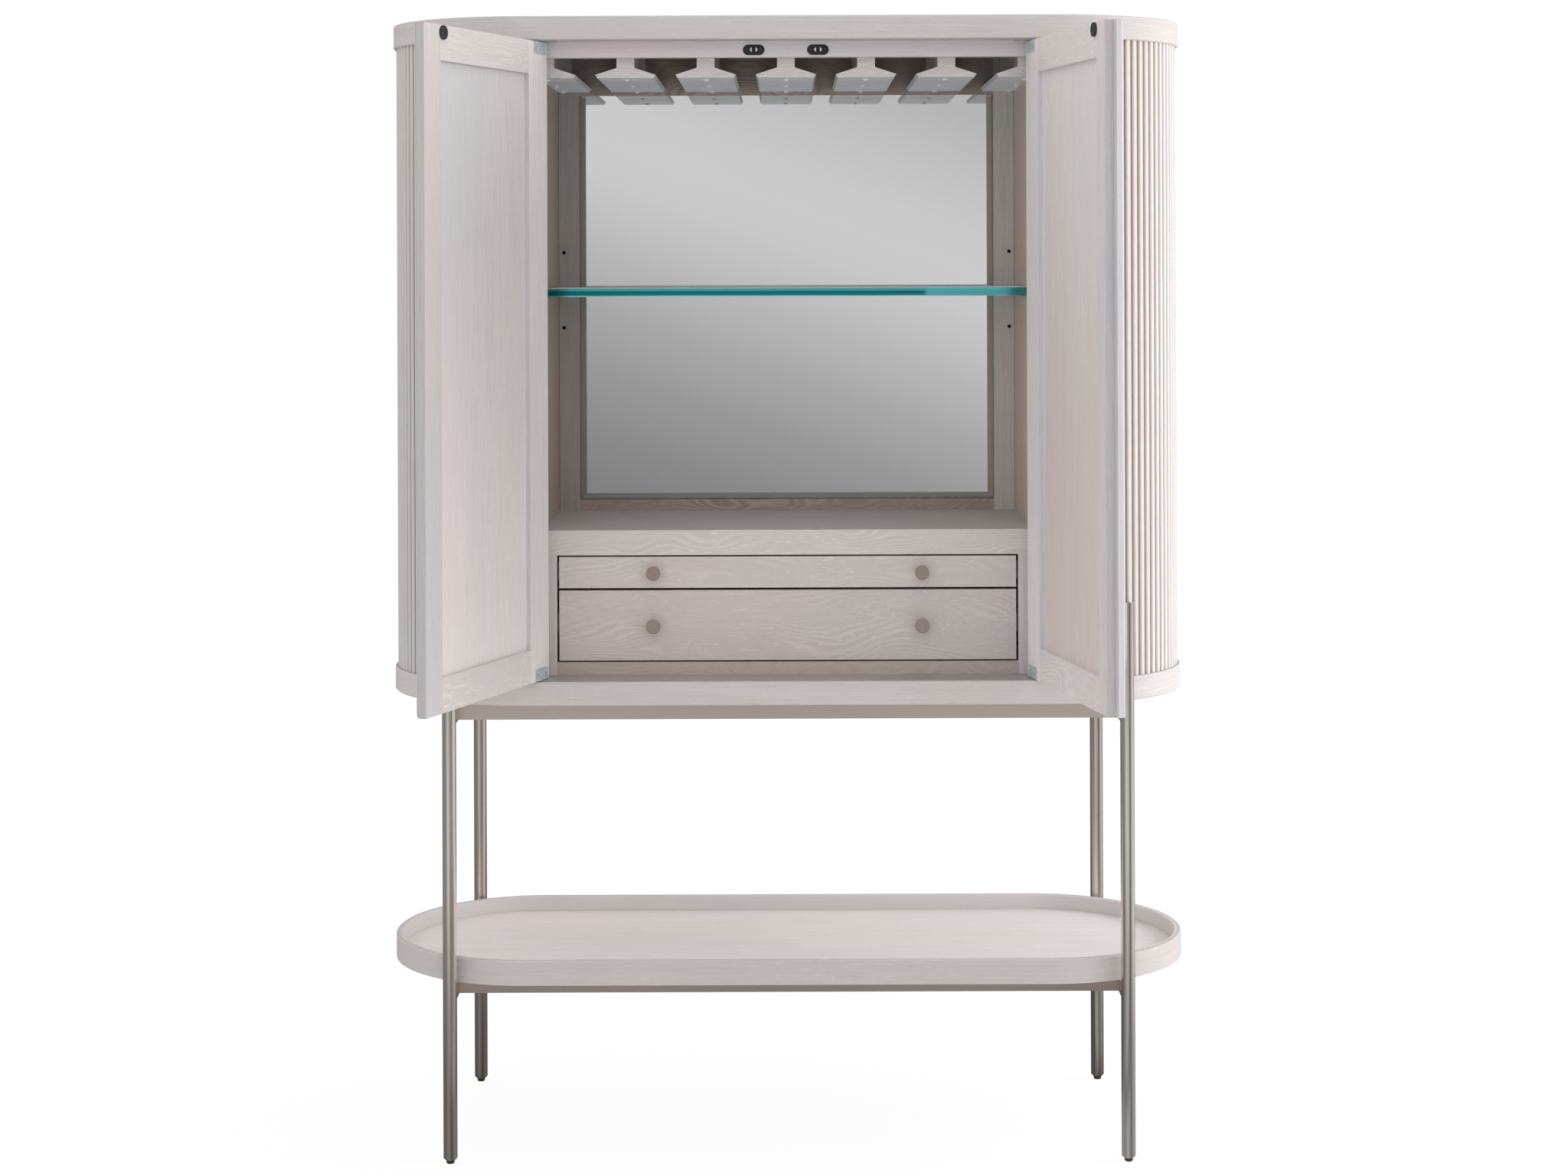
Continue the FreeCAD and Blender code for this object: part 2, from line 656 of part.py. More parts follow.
# Two drawers, each with a front, a box, a floor in its grooves, two knobs and two slides
knob = [("0", "0"), ("knobStemRadius", "0"), ("knobStemRadius", "knobStemLong"),
        ("knobRadius", "knobStemLong"), ("knobRadius", "knobStemLong + knobThick - knobEase"),
        ("knobRadius - knobEase", "knobStemLong + knobThick"), ("0", "knobStemLong + knobThick")]
for name, (low, tall) in drawers.items():
    keep(board(f"{name}_face", ("0 - frontHalf", "frontHalf"), ("0 - unitFront", "0 - frontBack"),
               (low, f"{low} + {tall}")), f"{name}_drawer_front")
    bottom, top = f"{low} + boxBottomRise", f"{low} + {tall} - boxTopDrop"
    groove = (f"{bottom} + boxFloorRise - grooveSlack",
              f"{bottom} + boxFloorRise + boxFloorThick + grooveSlack")
    deep = "boxInner + grooveDeep"
    cheek = [("boxHalf", bottom), ("boxHalf", top), ("boxInner", top), ("boxInner", groove[1]),
             (deep, groove[1]), (deep, groove[0]), ("boxInner", groove[0]), ("boxInner", bottom)]
    cheeks = pair(f"{name}_cheeks", stand(extrusion(f"{name}_cheek", "Y", [cheek], "0 - frontBack",
                                                    "boxDeep")))
    end = board(f"{name}_end", ("0 - boxInner", "boxInner"), ("boxEnd - boxBackThick", "boxEnd"),
                (groove[1], top))
    keep(group(f"{name}_box", [cheeks, end]), f"{name}_drawer_box")
    keep(board(f"{name}_floor", (f"grooveSlack - ({deep})", f"{deep} - grooveSlack"),
               ("0 - frontBack", "boxEnd"),
               (f"{bottom} + boxFloorRise", f"{bottom} + boxFloorRise + boxFloorThick")),
         f"{name}_drawer_bottom")
    pull = turned(f"{name}_knob", knob)
    pull.Placement.Rotation = FreeCAD.Rotation(V(1, 0, 0), 90)
    keep(pair(f"{name}_knobs", stand(pull, "knobSide", "0 - unitFront", f"{low} + {tall} / 2")),
         f"{name}_drawer_knobs")
    runner = channel("boxHalf", "unitInner - slideMetal - slideRun", slide_middles[name],
                     "(slideTall / 2 - slideMetal - slideRun)")
    keep(pair(f"{name}_runners", stand(extrusion(f"{name}_runner", "Y", [runner],
                                                 "slideInset - frontBack", "slideLong"))),
         f"{name}_drawer_slides")

# The glass shelf on four angle pins, two in the walls and two in the mirror's stiles
keep(board("shelf", ("shelfSlack - wallInner", "wallInner - shelfSlack"),
           ("0 - shelfFront", "shelfBack"), ("shelfBottom", "shelfBottom + shelfThick")),
     "glass_shelf")
pin_high = "shelfHoleHeight + shelfHoleRadius + shelfPinPlate"
pin_low = "shelfBottom - shelfPinPlate"
wall_pin = fuse("wall_pin", [
    board("wall_pin_plate", ("wallInner - shelfPinPlate", "wallInner"),
          ("0 - shelfPinFront - shelfPinWide / 2", "shelfPinWide / 2 - shelfPinFront"),
          (pin_low, pin_high)),
    board("wall_pin_ledge", ("wallInner - shelfPinLedge", "wallInner"),
          ("0 - shelfPinFront - shelfPinWide / 2", "shelfPinWide / 2 - shelfPinFront"),
          (pin_low, "shelfBottom")),
    peg("wall_pin_peg", "shelfHoleRadius - pinFit", "shelfPinDeep - glueLine", "wallInner",
        "0 - shelfPinFront", "shelfHoleHeight", "X")])
back_pin = fuse("back_pin", [
    board("back_pin_plate", ("shelfHoleSide - shelfPinWide / 2", "shelfHoleSide + shelfPinWide / 2"),
          ("mirrorFrameFront - shelfPinPlate", "mirrorFrameFront"), (pin_low, pin_high)),
    board("back_pin_ledge", ("shelfHoleSide - shelfPinWide / 2", "shelfHoleSide + shelfPinWide / 2"),
          ("mirrorFrameFront - shelfPinLedge", "mirrorFrameFront"), (pin_low, "shelfBottom")),
    peg("back_pin_peg", "shelfHoleRadius - pinFit", "shelfPinDeep - glueLine", "shelfHoleSide",
        "mirrorFrameFront", "shelfHoleHeight", "Y")])
keep(group("pins", [pair("wall_pins", wall_pin), pair("back_pins", back_pin)]), "shelf_pins")

# Stemware rails: five whole ones and a half one against each wall
half_section = [("stemNeckHalf", "0"), ("stemNeckHalf", "stemNeckDrop"),
                ("stemFlangeHalf", "stemTipDrop"), ("stemFootHalf", "stemDrop")]
whole = [(f"{x} - 2 * stemPitch", f"insideTop - {z}") for x, z in half_section]
whole += [(f"0 - {x} - 2 * stemPitch", f"insideTop - {z}") for x, z in reversed(half_section)]
stems = new_body("stem_rails")
stem_sketch = new_sketch(stems, "Y", "0 - railBack")
draw_loop(stem_sketch, whole)
row(stems, pad(stems, stem_sketch, "railBack + mirrorFrameFront", "Y"), "X_Axis", "5", "stemPitch")
side_stem = [("wallInner", "insideTop")]
side_stem += [(f"3 * stemPitch - {x}", f"insideTop - {z}") for x, z in half_section]
side_stem += [("wallInner", "insideTop - stemDrop")]
side_stems = pair("side_stems", stand(extrusion("side_stem", "Y", [side_stem], "0 - railBack",
                                                "railBack + mirrorFrameFront")))
keep(group("all_stems", [stand(stems), side_stems]), "wine_glass_rails")
screw_shares = (0.12, 0.54, 0.96)
screws = []
for column in range(-3, 4):
    for k, share in enumerate(screw_shares):
        screws.append(peg(f"stem_screw_{column + 3}_{k}", "stemScrewRadius", "stemScrewHead",
                          f"{column} * stemPitch",
                          f"(railBack + mirrorFrameFront) * {share} - railBack",
                          "insideTop - stemDrop - stemScrewHead", sides=8))
keep(group("stem_screws", screws), "wine_rail_screws")

# Pivot plates on the case, above and below each door, with the pins that the doors turn on
plate_span = ("pivotSide + pivotInset - plateLong", "pivotSide + pivotInset")
plate_deep = ("plateFrontInset - faceRadius", "plateFrontInset + plateWide - faceRadius")
pin_long = "doorEndGap - plateThick + pinReach"
low_plate = fuse("low_pivot", [
    board("low_plate", plate_span, plate_deep, ("insideBottom", "insideBottom + plateThick")),
    rod("low_pin", "pinRadius", pin_long, "pivotSide", "0 - pivotBack",
        "insideBottom + plateThick")])
high_plate = fuse("high_pivot", [
    board("high_plate", plate_span, plate_deep, ("insideTop - plateThick", "insideTop")),
    rod("high_pin", "pinRadius", pin_long, "pivotSide", "0 - pivotBack",
        "insideTop - doorEndGap - pinReach")])
keep(group("pivots", [pair("low_pivots", low_plate), pair("high_pivots", high_plate)]),
     "hinge_plates")


# Each door is drawn closed about its own pivot, its free edge away from the pivot, and turned
# open on it.
def hang(thing, side):
    turn = -1 if side == "left" else 1
    thing.Placement.Rotation = FreeCAD.Rotation(V(0, 0, turn), 1)
    bind(stand(thing, f"{turn} * pivotSide", "0 - pivotBack"),
         {"Placement.Rotation.Angle": side + "OpenAngle"})
    return thing


def facing(way, corners):
    return [(f"{way} * ({x})", y) for x, y in corners]


def ordered(way, a, b):
    return (a, b) if way == "1" else (f"0 - ({b})", f"0 - ({a})")


for side, way, skin_reach, frame_reach in (("left", "1", "doorShort", "doorReach"),
                                           ("right", "-1", "doorReach", "doorShort")):
    # Angle leaves let into the corners: one leg across the door's end, one down its inner face
    leaves, seats, bores = [], [], []
    leaf_span = ordered(way, "leafMargin - pivotInset", "leafMargin - pivotInset + leafLong")
    for name, end, up in (("low", "doorBottom", "1"), ("high", "doorTop", "-1")):
        thick, far = f"{end} + {up} * leafThick", f"{end} + {up} * leafTall"
        angle = [("doorHalf - leafDeep", end), ("doorHalf", end), ("doorHalf", far),
                 ("doorHalf - leafThick", far), ("doorHalf - leafThick", thick),
                 ("doorHalf - leafDeep", thick)]
        blank = extrusion(f"{side}_{name}_leaf", "X", [angle], leaf_span[0], "leafLong")
        eye = rod(f"{side}_{name}_eye", "pinRadius + pinFit", "2 * overrun", "0", "0",
                  f"{end} - overrun", place=put)
        leaves.append(cut(f"{side}_{name}_bored_leaf", blank, [eye]))
        seats.append(extrusion(f"{side}_{name}_seat", "X", [angle], leaf_span[0], "leafLong"))
        start = end if up == "1" else f"{end} - pinReach - pinRoom"
        bores.append(rod(f"{side}_{name}_pin_room", "pinRadius + pinRoom", "pinReach + pinRoom",
                         "0", "0", start, place=put))
    hang(keep(group(f"{side}_leaves", leaves), f"{side}_door_hinge_leaves"), side)

    # The frame: two stiles, two rails and a sunk panel
    hinge_stile = extrusion(f"{side}_hinge_stile", "Z",
                            [facing(way, boxed(("hingeStart", "hingeStop"),
                                               ("frameFace", "doorHalf")))],
                            "doorBottom", "doorTall")
    if side == "left":
        edge = [("doorShort", "frameFace"), ("doorShort", "frameFace + doorLapGap"),
                ("doorReach", "frameFace + doorLapGap"), ("doorReach", "doorHalf")]
    else:
        edge = [("doorShort", "frameFace"), ("doorShort", "doorHalf")]
    free_section = [("freeStart", "doorHalf"), ("freeStart", "frameFace"), *edge]
    free_stile = extrusion(f"{side}_free_stile", "Z", [facing(way, free_section)], "doorBottom",
                           "doorTall")
    let_in = cut(f"{side}_bored_stile", hinge_stile, seats + bores)
    hang(keep(group(f"{side}_stiles", [let_in, free_stile]), f"{side}_door_stiles"), side)
    inside = ordered(way, "hingeStop", "freeStart")
    bars = [board(f"{side}_{name}_bar", inside, ("frameFace", "doorHalf"), heights, put)
            for name, heights in (("low", ("doorBottom", "doorBottom + doorRailWide")),
                                  ("high", ("doorTop - doorRailWide", "doorTop")))]
    hang(keep(group(f"{side}_bars", bars), f"{side}_door_rails"), side)
    sunk = extrusion(f"{side}_sunk_panel", "Z",
                     [boxed(inside, ("frameFace", "frameFace + panelThick"))],
                     "doorBottom + doorRailWide", "doorTall - 2 * doorRailWide")
    hang(keep(sunk, f"{side}_door_panel"), side)

    # The reeded outer skin: a thin backing with a row of reeds
    skin = new_body(f"{side}_skin")
    skin_span = ordered(way, "hingeStart", skin_reach)
    backing = new_sketch(skin, "Z", "doorBottom")
    draw_loop(backing, boxed(skin_span, ("slatDeep - doorHalf", "frameFace")))
    pad(skin, backing, "doorTall", "Z")
    count = f"round(({skin_reach} + pivotInset) / slatPitch)"
    pitch = f"({skin_reach} + pivotInset) / {count}"
    reed_line = new_sketch(skin, "Z", "doorBottom")
    middle = f"{skin_span[0]} + {pitch} / 2"
    draw_loop(reed_line, [(f"{middle} + {sign} * (slatWide / 2 - {back})", f"{deep} - doorHalf")
                          for sign, back, deep in (("-1", "0", "slatDeep"), ("-1", "0", "slatEase"),
                                                   ("-1", "slatEase", "0"), ("1", "slatEase", "0"),
                                                   ("1", "0", "slatEase"), ("1", "0", "slatDeep"))])
    row(skin, pad(skin, reed_line, "doorTall", "Z"), "X_Axis", count, pitch)
    hang(keep(cut(f"{side}_bored_skin", skin, seats + bores), f"{side}_door_reeded_face"), side)

    # The round strike that the catch takes hold of
    disc = rod(f"{side}_disc", "strikeRadius", "strikeThick", f"{way} * (pivotSide - strikeSpread)",
               "doorHalf", "catchHeight", "Y", put)
    hang(keep(group(f"{side}_strikes", [disc]), f"{side}_door_strike"), side)

# The stand: four round tube legs, plugged at the foot and capped at the top
leg_outline = [("0", "legBottom"), ("legTipRadius", "legBottom"),
               ("legRadius", "legBottom + legTipTall"), ("legRadius", "legTop"), ("0", "legTop"),
               ("0", "legTop - legCap"), ("legRadius - legWall", "legTop - legCap"),
               ("legRadius - legWall", "legPlug"), ("0", "legPlug")]
for name, back in (("front", "0 - legDepth"), ("back", "legDepth")):
    leg = stand(turned(f"{name}_leg", leg_outline), "legSide", back)
    bore = peg_hole(f"{name}_stud_bore", "studRadius + pinFit", "legPlug", "legSide", back, "0")
    keep(pair(f"{name}_leg_pair", cut(f"{name}_bored_leg", leg, [bore])), f"{name}_legs")

# Rectangular tube rails, the side ones coped round the legs
copes = [rod(f"{name}_cope", "legRadius + copeGap", "legTop", "legSide", back, "0")
         for name, back in (("front", "0 - legDepth"), ("back", "legDepth"))]
for name, low, high in (("upper", "upperTubeLow", "caseBottom"),
                        ("lower", "lowerTubeLow", "trayBottom")):
    heights, bore_heights = (low, high), (f"{low} + tubeWall", f"{high} - tubeWall")
    side_tube = [boxed((f"{edge} - tubeWide + {wall}", f"{edge} - {wall}"), z)
                 for edge, wall, z in (("(legSide + tubeWide / 2)", "0", heights),
                                       ("(legSide + tubeWide / 2)", "tubeWall", bore_heights))]
    tube = stand(extrusion(f"{name}_side_tube", "Y", side_tube, "0 - legDepth", "2 * legDepth"))
    keep(pair(f"{name}_side_tubes", cut(f"{name}_coped_tube", tube, copes)), f"{name}_side_rails")
    long_tubes = [boxed((f"{sign} * (tubeFront - {wall})", f"{sign} * (tubeBack + {wall})"), z)
                  for sign in ("-1", "1")
                  for wall, z in (("0", heights), ("tubeWall", bore_heights))]
    keep(stand(extrusion(f"{name}_long_tubes", "X", long_tubes, "0 - tubeInner", "2 * tubeInner")),
         f"{name}_long_rails")

# The tray: a floor inside a rim of two straight boards and two bent ends
keep(stand(stadium("tray_plate", "endStraight", "rimInner - glueLine", "trayBottom",
                   "trayFloorThick")), "tray_floor")
rim = [("rimInner", "trayBottom"), ("endRadius", "trayBottom"), ("endRadius", "trayTop - rimEase"),
       ("endRadius - rimEase", "trayTop"), ("rimInner + rimEase", "trayTop"),
       ("rimInner", "trayTop - rimEase")]
rim_sides = [[(f"{sign} * ({y})", z) for y, z in rim] for sign in ("-1", "1")]
straight_rims = stand(extrusion("straight_rims", "X", rim_sides, "0 - endStraight",
                                "2 * endStraight"))
bent_rims = pair("bent_rims", stand(turned("bent_rim", rim, half=True), "endStraight"))
keep(straight_rims, "tray_rim_sides")
keep(bent_rims, "tray_rim_ends")

# Levelling glides: a low foot with its threaded stud up in the leg's plug
glide = [("0", "0"), ("glideFlat", "0"), ("glideRadius", "glideTall"), ("0", "glideTall")]
for back_name, back in (("front", "0 - legDepth"), ("back", "legDepth")):
    for side_name, sign in (("left", "-1"), ("right", "1")):
        label = f"{back_name}_{side_name}_glide"
        foot = stand(turned(label + "_foot", glide), f"{sign} * legSide", back)
        stud = peg(label + "_stud", "studRadius", "studTop - glideTall / 2", f"{sign} * legSide",
                   back, "glideTall / 2")
        keep(fuse(label + "_body", [foot, stud]), label)

doc.recompute()
broken = [thing.Name for thing in doc.Objects
          if any(word in thing.State for word in ("Invalid", "Error"))]
for node in nodes:
    if node.Shape.isNull() or not node.Shape.isValid() or not node.Shape.Solids:
        broken.append(node.Label)
if broken:
    raise SystemExit("failed: " + ", ".join(broken))

os.makedirs("parts", exist_ok=True)
for node in nodes:
    node.Shape.exportStep(f"parts/{node.Label}.step")
print(len(nodes), "nodes,", sum(len(node.Shape.Solids) for node in nodes), "solids")
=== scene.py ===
import json
import math

import bpy
import numpy as np
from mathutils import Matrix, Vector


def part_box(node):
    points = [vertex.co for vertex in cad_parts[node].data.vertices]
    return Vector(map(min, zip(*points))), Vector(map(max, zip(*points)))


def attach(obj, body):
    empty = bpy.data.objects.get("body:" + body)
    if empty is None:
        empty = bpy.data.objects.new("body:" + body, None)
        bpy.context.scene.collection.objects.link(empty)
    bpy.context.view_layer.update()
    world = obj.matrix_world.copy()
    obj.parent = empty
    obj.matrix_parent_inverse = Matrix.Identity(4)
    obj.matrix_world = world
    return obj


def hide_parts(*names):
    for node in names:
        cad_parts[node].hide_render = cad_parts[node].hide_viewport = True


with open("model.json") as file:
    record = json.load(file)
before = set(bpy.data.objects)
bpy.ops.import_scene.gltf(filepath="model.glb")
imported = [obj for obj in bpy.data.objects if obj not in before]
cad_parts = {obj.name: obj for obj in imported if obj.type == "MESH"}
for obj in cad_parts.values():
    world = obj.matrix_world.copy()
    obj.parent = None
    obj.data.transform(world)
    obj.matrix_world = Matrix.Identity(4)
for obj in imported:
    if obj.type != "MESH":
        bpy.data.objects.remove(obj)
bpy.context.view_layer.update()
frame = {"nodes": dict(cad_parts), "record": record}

scene = bpy.context.scene
cabinet = frame["nodes"]
hingeJoints = {j["name"]: j for j in frame["record"]["behaviour"]["joints"] if j["type"] == "hinge"}
topLow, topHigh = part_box("top_board")
caseMiddle = (topLow[1] + topHigh[1]) / 2    # y of the case's middle
endCentre = topHigh[0] - (topHigh[1] - topLow[1]) / 2    # x of the round ends' centres
print("loaded", len(cabinet), "nodes")

photoCamera = {
    "focalPixels": 3600.0,
    "photoWide": 2048.0,
    "photoTall": 1536.0,
    "distance": 4.119,      # in front of the case's middle
    "height": 1.2795,
    "centreLine": 1027.3,   # the pixel column that the camera looks along
    "horizon": 343.0,       # the pixel row at the camera's height
    "roll": 0.2,            # degrees
    "sensor": 36.0,
}


def addCamera(c):
    data = bpy.data.cameras.new("photoCamera")
    data.sensor_width = c["sensor"]
    data.lens = c["focalPixels"] / c["photoWide"] * c["sensor"]
    data.shift_x = (c["photoWide"] / 2 - c["centreLine"]) / c["photoWide"]
    data.shift_y = (c["horizon"] - c["photoTall"] / 2) / c["photoWide"]
    data.clip_start, data.clip_end = 0.1, 60.0
    camera = bpy.data.objects.new("photoCamera", data)
    camera.location = (0.0, caseMiddle - c["distance"], c["height"])
    camera.rotation_euler = (math.radians(90), math.radians(c["roll"]), 0.0)
    scene.collection.objects.link(camera)
    scene.camera = camera


addCamera(photoCamera)
scene.view_settings.view_transform = "Standard"

studio = {
    "roundLight": (1.03, 1.02, 1.01),        # plain light from all round
    "roomHigh": 0.62,                         # share of the cards that gloss sees in the floor
    # what gloss sees of the cards by the height of its direction
    "roomLean": 0.36,                         # rise of that height with the direction's side
    "roomLeanEnd": 0.09,                      # the side at which the rise ends
    "roomSpan": (-0.20, 0.25),
    "room": [(-0.20, 0.20), (-0.105, 0.233), (-0.085, 0.278), (-0.063, 0.338), (-0.041, 0.416), (-0.024, 0.490),
             (-0.0105, 0.548), (0.006, 0.618), (0.020, 0.640), (0.034, 0.630), (0.048, 0.588), (0.078, 0.491),
             (0.15, 0.52), (0.25, 0.62)],
    # pale and dark cards that gloss sees, by the angle round the object: 0 is in front, 90 its right
    "cards": [(-180, 0.36), (-125, 0.40), (-108, 0.56), (-50, 0.56), (-30, 1.15), (-12, 1.15), (-8, 1.0), (8, 1.0),
              (12, 1.15), (30, 1.15), (37, 0.45), (50, 0.45), (58, 1.15), (112, 1.10), (125, 0.42), (180, 0.36)],
    "window": {"at": (3.1, 0.0, 1.35), "aim": (0.5, 0.17, 1.1), "size": (1.8, 2.4), "power": 62.0},
    "floorSpan": (-7.0, 7.0, -4.2, 6.0),      # left, right, near and far edge
    "floorColour": (0.70, 0.70, 0.70),
    "floorShare": 0.82,                       # how much of the floor's look to the camera is its own white
    "floorWhite": 1.075,
    "floorGloss": (0.50, 0.95),               # share of the cards seen in the floor, near and far: dimmer near the object, a painted shadow
    "floorNear": (0.9, 2.2),                  # metres in front of the object
}


def isSocket(thing):
    return isinstance(thing, bpy.types.NodeSocket)


def node(tree, kind, links=(), **settings):
    made = tree.nodes.new(kind)
    for name, value in settings.items():
        if name in made.inputs and not hasattr(type(made), name):
            made.inputs[name].default_value = value
        else:
            setattr(made, name, value)
    for socket, source in links:
        tree.links.new(source, made.inputs[socket])
    return made


def maths(tree, operation, *terms):
    made = node(tree, "ShaderNodeMath", operation=operation)
    for index, term in enumerate(terms):
        if isSocket(term):
            tree.links.new(term, made.inputs[index])
        else:
            made.inputs[index].default_value = term
    return made.outputs[0]


def ramp(tree, source, low, high, start=0.0, stop=1.0, smooth=True):
    made = node(tree, "ShaderNodeMapRange", [("Value", source)],
                interpolation_type="SMOOTHSTEP" if smooth else "LINEAR")
    for socket, value in (("From Min", low), ("From Max", high), ("To Min", start), ("To Max", stop)):
        made.inputs[socket].default_value = value
    return made.outputs["Result"]


def mixColour(tree, factor, a, b, blend="MIX"):
    mix = node(tree, "ShaderNodeMix", data_type="RGBA", blend_type=blend)
    # sockets 6 and 7 are the colour pair of a Mix node
    for index, source in ((0, factor), (6, a), (7, b)):
        if isSocket(source):
            tree.links.new(source, mix.inputs[index])
        elif index == 0:
            mix.inputs[0].default_value = source
        else:
            mix.inputs[index].default_value = (*source, 1.0)
    return mix.outputs[2]


def product(tree, a, b):
    return maths(tree, "MULTIPLY", a, b)


def distance(tree, a, b):
    # the square root of the sum of two squares
    return maths(tree, "SQRT", maths(tree, "ADD", product(tree, a, a), product(tree, b, b)))


def tinted(tree, colour, tone):
    return mixColour(tree, 1.0, colour, tone, "MULTIPLY")


def axisOf(tree, vector, axis):
    return node(tree, "ShaderNodeSeparateXYZ", [(0, vector)]).outputs[axis]


def mixShaders(tree, share, first, second):
    return node(tree, "ShaderNodeMixShader", [(0, share), (1, first), (2, second)]).outputs[0]


def colourStops(tree, share, stops):
    # colours at given shares from 0 to 1, straight lines between them
    made = node(tree, "ShaderNodeValToRGB", [(0, share)])
    elements = made.color_ramp.elements
    while len(elements) < len(stops):
        elements.new(0.5)
    for element, (position, colour) in zip(elements, stops):
        element.position, element.color = position, (*colour, 1.0)
    return made.outputs[0]


def greyStops(tree, source, stops, low, high):
    # grey levels at given values of a source, from low to high
    share = ramp(tree, source, low, high, smooth=False)
    return colourStops(tree, share, [((value - low) / (high - low), (level,) * 3) for value, level in stops])


def cardLevel(tree, vector, cards):
    # the brightness of the studio's cards towards a direction, by its angle round the vertical
    parts = node(tree, "ShaderNodeSeparateXYZ", [(0, vector)])
    angle = maths(tree, "ARCTAN2", parts.outputs["X"], product(tree, parts.outputs["Y"], -1.0))
    levels = [(math.radians(degrees), level) for degrees, level in cards]
    return greyStops(tree, angle, levels, -math.pi, math.pi), parts


def setStudio(s):
    world = bpy.data.worlds.new("studioWorld")
    world.use_nodes = True
    scene.world = world
    tree = world.node_tree
    tree.nodes.clear()
    path = node(tree, "ShaderNodeLightPath")
    place = node(tree, "ShaderNodeTexCoord")
    cards, parts = cardLevel(tree, place.outputs["Generated"], s["cards"])
    end = s["roomLeanEnd"]
    sideways = maths(tree, "MINIMUM", maths(tree, "MAXIMUM", parts.outputs["X"], -end), end)
    height = maths(tree, "ADD", parts.outputs["Z"], product(tree, sideways, s["roomLean"]))
    room = tinted(tree, cards, greyStops(tree, height, s["room"], *s["roomSpan"]))
    gloss = node(tree, "ShaderNodeBackground", [("Color", room)], Strength=1.0)
    soft = node(tree, "ShaderNodeBackground", Color=(*s["roundLight"], 1.0), Strength=1.0)
    white = node(tree, "ShaderNodeBackground", Color=(1.0, 1.0, 1.0, 1.0), Strength=1.0)
    seen = maths(tree, "MAXIMUM", path.outputs["Is Camera Ray"], path.outputs["Is Transmission Ray"])
    unseen = mixShaders(tree, path.outputs["Is Glossy Ray"], soft.outputs[0], gloss.outputs[0])
    node(tree, "ShaderNodeOutputWorld", [(0, mixShaders(tree, seen, unseen, white.outputs[0]))])


def addWindow(lamp):
    data = bpy.data.lights.new("rightWindow", "AREA")
    data.shape, data.energy = "RECTANGLE", lamp["power"]
    data.size, data.size_y = lamp["size"]
    window = bpy.data.objects.new("rightWindow", data)
    window.location = lamp["at"]
    aim = np.subtract(lamp["aim"], lamp["at"])
    window.rotation_euler = (math.acos(-aim[2] / np.linalg.norm(aim)), 0.0, math.atan2(aim[1], aim[0]) - math.pi / 2)
    scene.collection.objects.link(window)
    window.visible_glossy = False


def addFloor(s):
    # To the camera a plain white that still takes the shadow, to gloss the same cards as the room's, dimmed near the
    # object as a painted shadow
    left, right, near, far = s["floorSpan"]
    data = bpy.data.meshes.new("studioFloor")
    data.from_pydata([(left, near, 0), (right, near, 0), (right, far, 0), (left, far, 0)], [], [(0, 1, 2, 3)])
    floor = bpy.data.objects.new("studioFloor", data)
    scene.collection.objects.link(floor)
    finish = bpy.data.materials.new("paleFloor")
    finish.use_nodes = True
    tree = finish.node_tree
    tree.nodes.clear()
    path = node(tree, "ShaderNodeLightPath")
    place = node(tree, "ShaderNodeTexCoord")
    matt = node(tree, "ShaderNodeBsdfDiffuse", Color=(*s["floorColour"], 1.0))
    glow = node(tree, "ShaderNodeEmission", Color=(1.0, 1.0, 1.0, 1.0), Strength=s["floorWhite"])
    share = product(tree, path.outputs["Is Camera Ray"], s["floorShare"])
    toEye = mixShaders(tree, share, matt.outputs[0], glow.outputs[0])
    cards, parts = cardLevel(tree, place.outputs["Object"], s["cards"])
    reach = distance(tree, parts.outputs["X"], parts.outputs["Y"])
    strength = product(tree, ramp(tree, reach, *s["floorNear"], *s["floorGloss"]), s["roomHigh"])
    card = node(tree, "ShaderNodeEmission", [(0, cards), (1, strength)])
    last = mixShaders(tree, path.outputs["Is Glossy Ray"], toEye, card.outputs[0])
    node(tree, "ShaderNodeOutputMaterial", [(0, last)])
    data.materials.append(finish)


setStudio(studio)
addWindow(studio["window"])
addFloor(studio)
print("camera and studio ready")

limedOak = {
    "bare": (0.585, 0.535, 0.520),      # between the limed fibres
    "limed": (0.680, 0.642, 0.640),     # where the white stays
    "rose": (0.665, 0.590, 0.590),      # slow drifts of colour along a veneer
    "straw": (0.640, 0.598, 0.545),
    "ash": (0.600, 0.592, 0.600),
    "pore": (0.440, 0.375, 0.335),
    "fleck": (0.800, 0.772, 0.768),
    "recess": (0.600, 0.470, 0.395),    # the bottom of the grooves, where the white was wiped out
    "roughness": (0.64, 0.53),          # between the fibres and on them
    "specular": 0.28,
    "relief": 0.00030,
    "reliefShare": 0.35,
}
# shadedOak is limedOak darkened for the inside of the case: painted shade
shadedOak = {**limedOak, "bare": (0.440, 0.378, 0.330), "limed": (0.540, 0.482, 0.436), "rose": (0.500, 0.428, 0.390),
             "straw": (0.500, 0.436, 0.366), "ash": (0.460, 0.428, 0.402), "pore": (0.270, 0.218, 0.182),
             "fleck": (0.620, 0.572, 0.532)}
railOak = {**limedOak, "bare": (0.325, 0.268, 0.226), "limed": (0.480, 0.420, 0.370), "rose": (0.410, 0.335, 0.298),
           "straw": (0.380, 0.310, 0.262), "ash": (0.340, 0.300, 0.280), "pore": (0.150, 0.110, 0.094),
           "fleck": (0.520, 0.450, 0.410)}
boxWood = {**limedOak, "bare": (0.600, 0.500, 0.390), "limed": (0.680, 0.585, 0.475), "rose": (0.640, 0.530, 0.430),
           "straw": (0.650, 0.560, 0.430), "ash": (0.600, 0.520, 0.430), "pore": (0.480, 0.380, 0.280),
           "fleck": (0.740, 0.660, 0.560)}

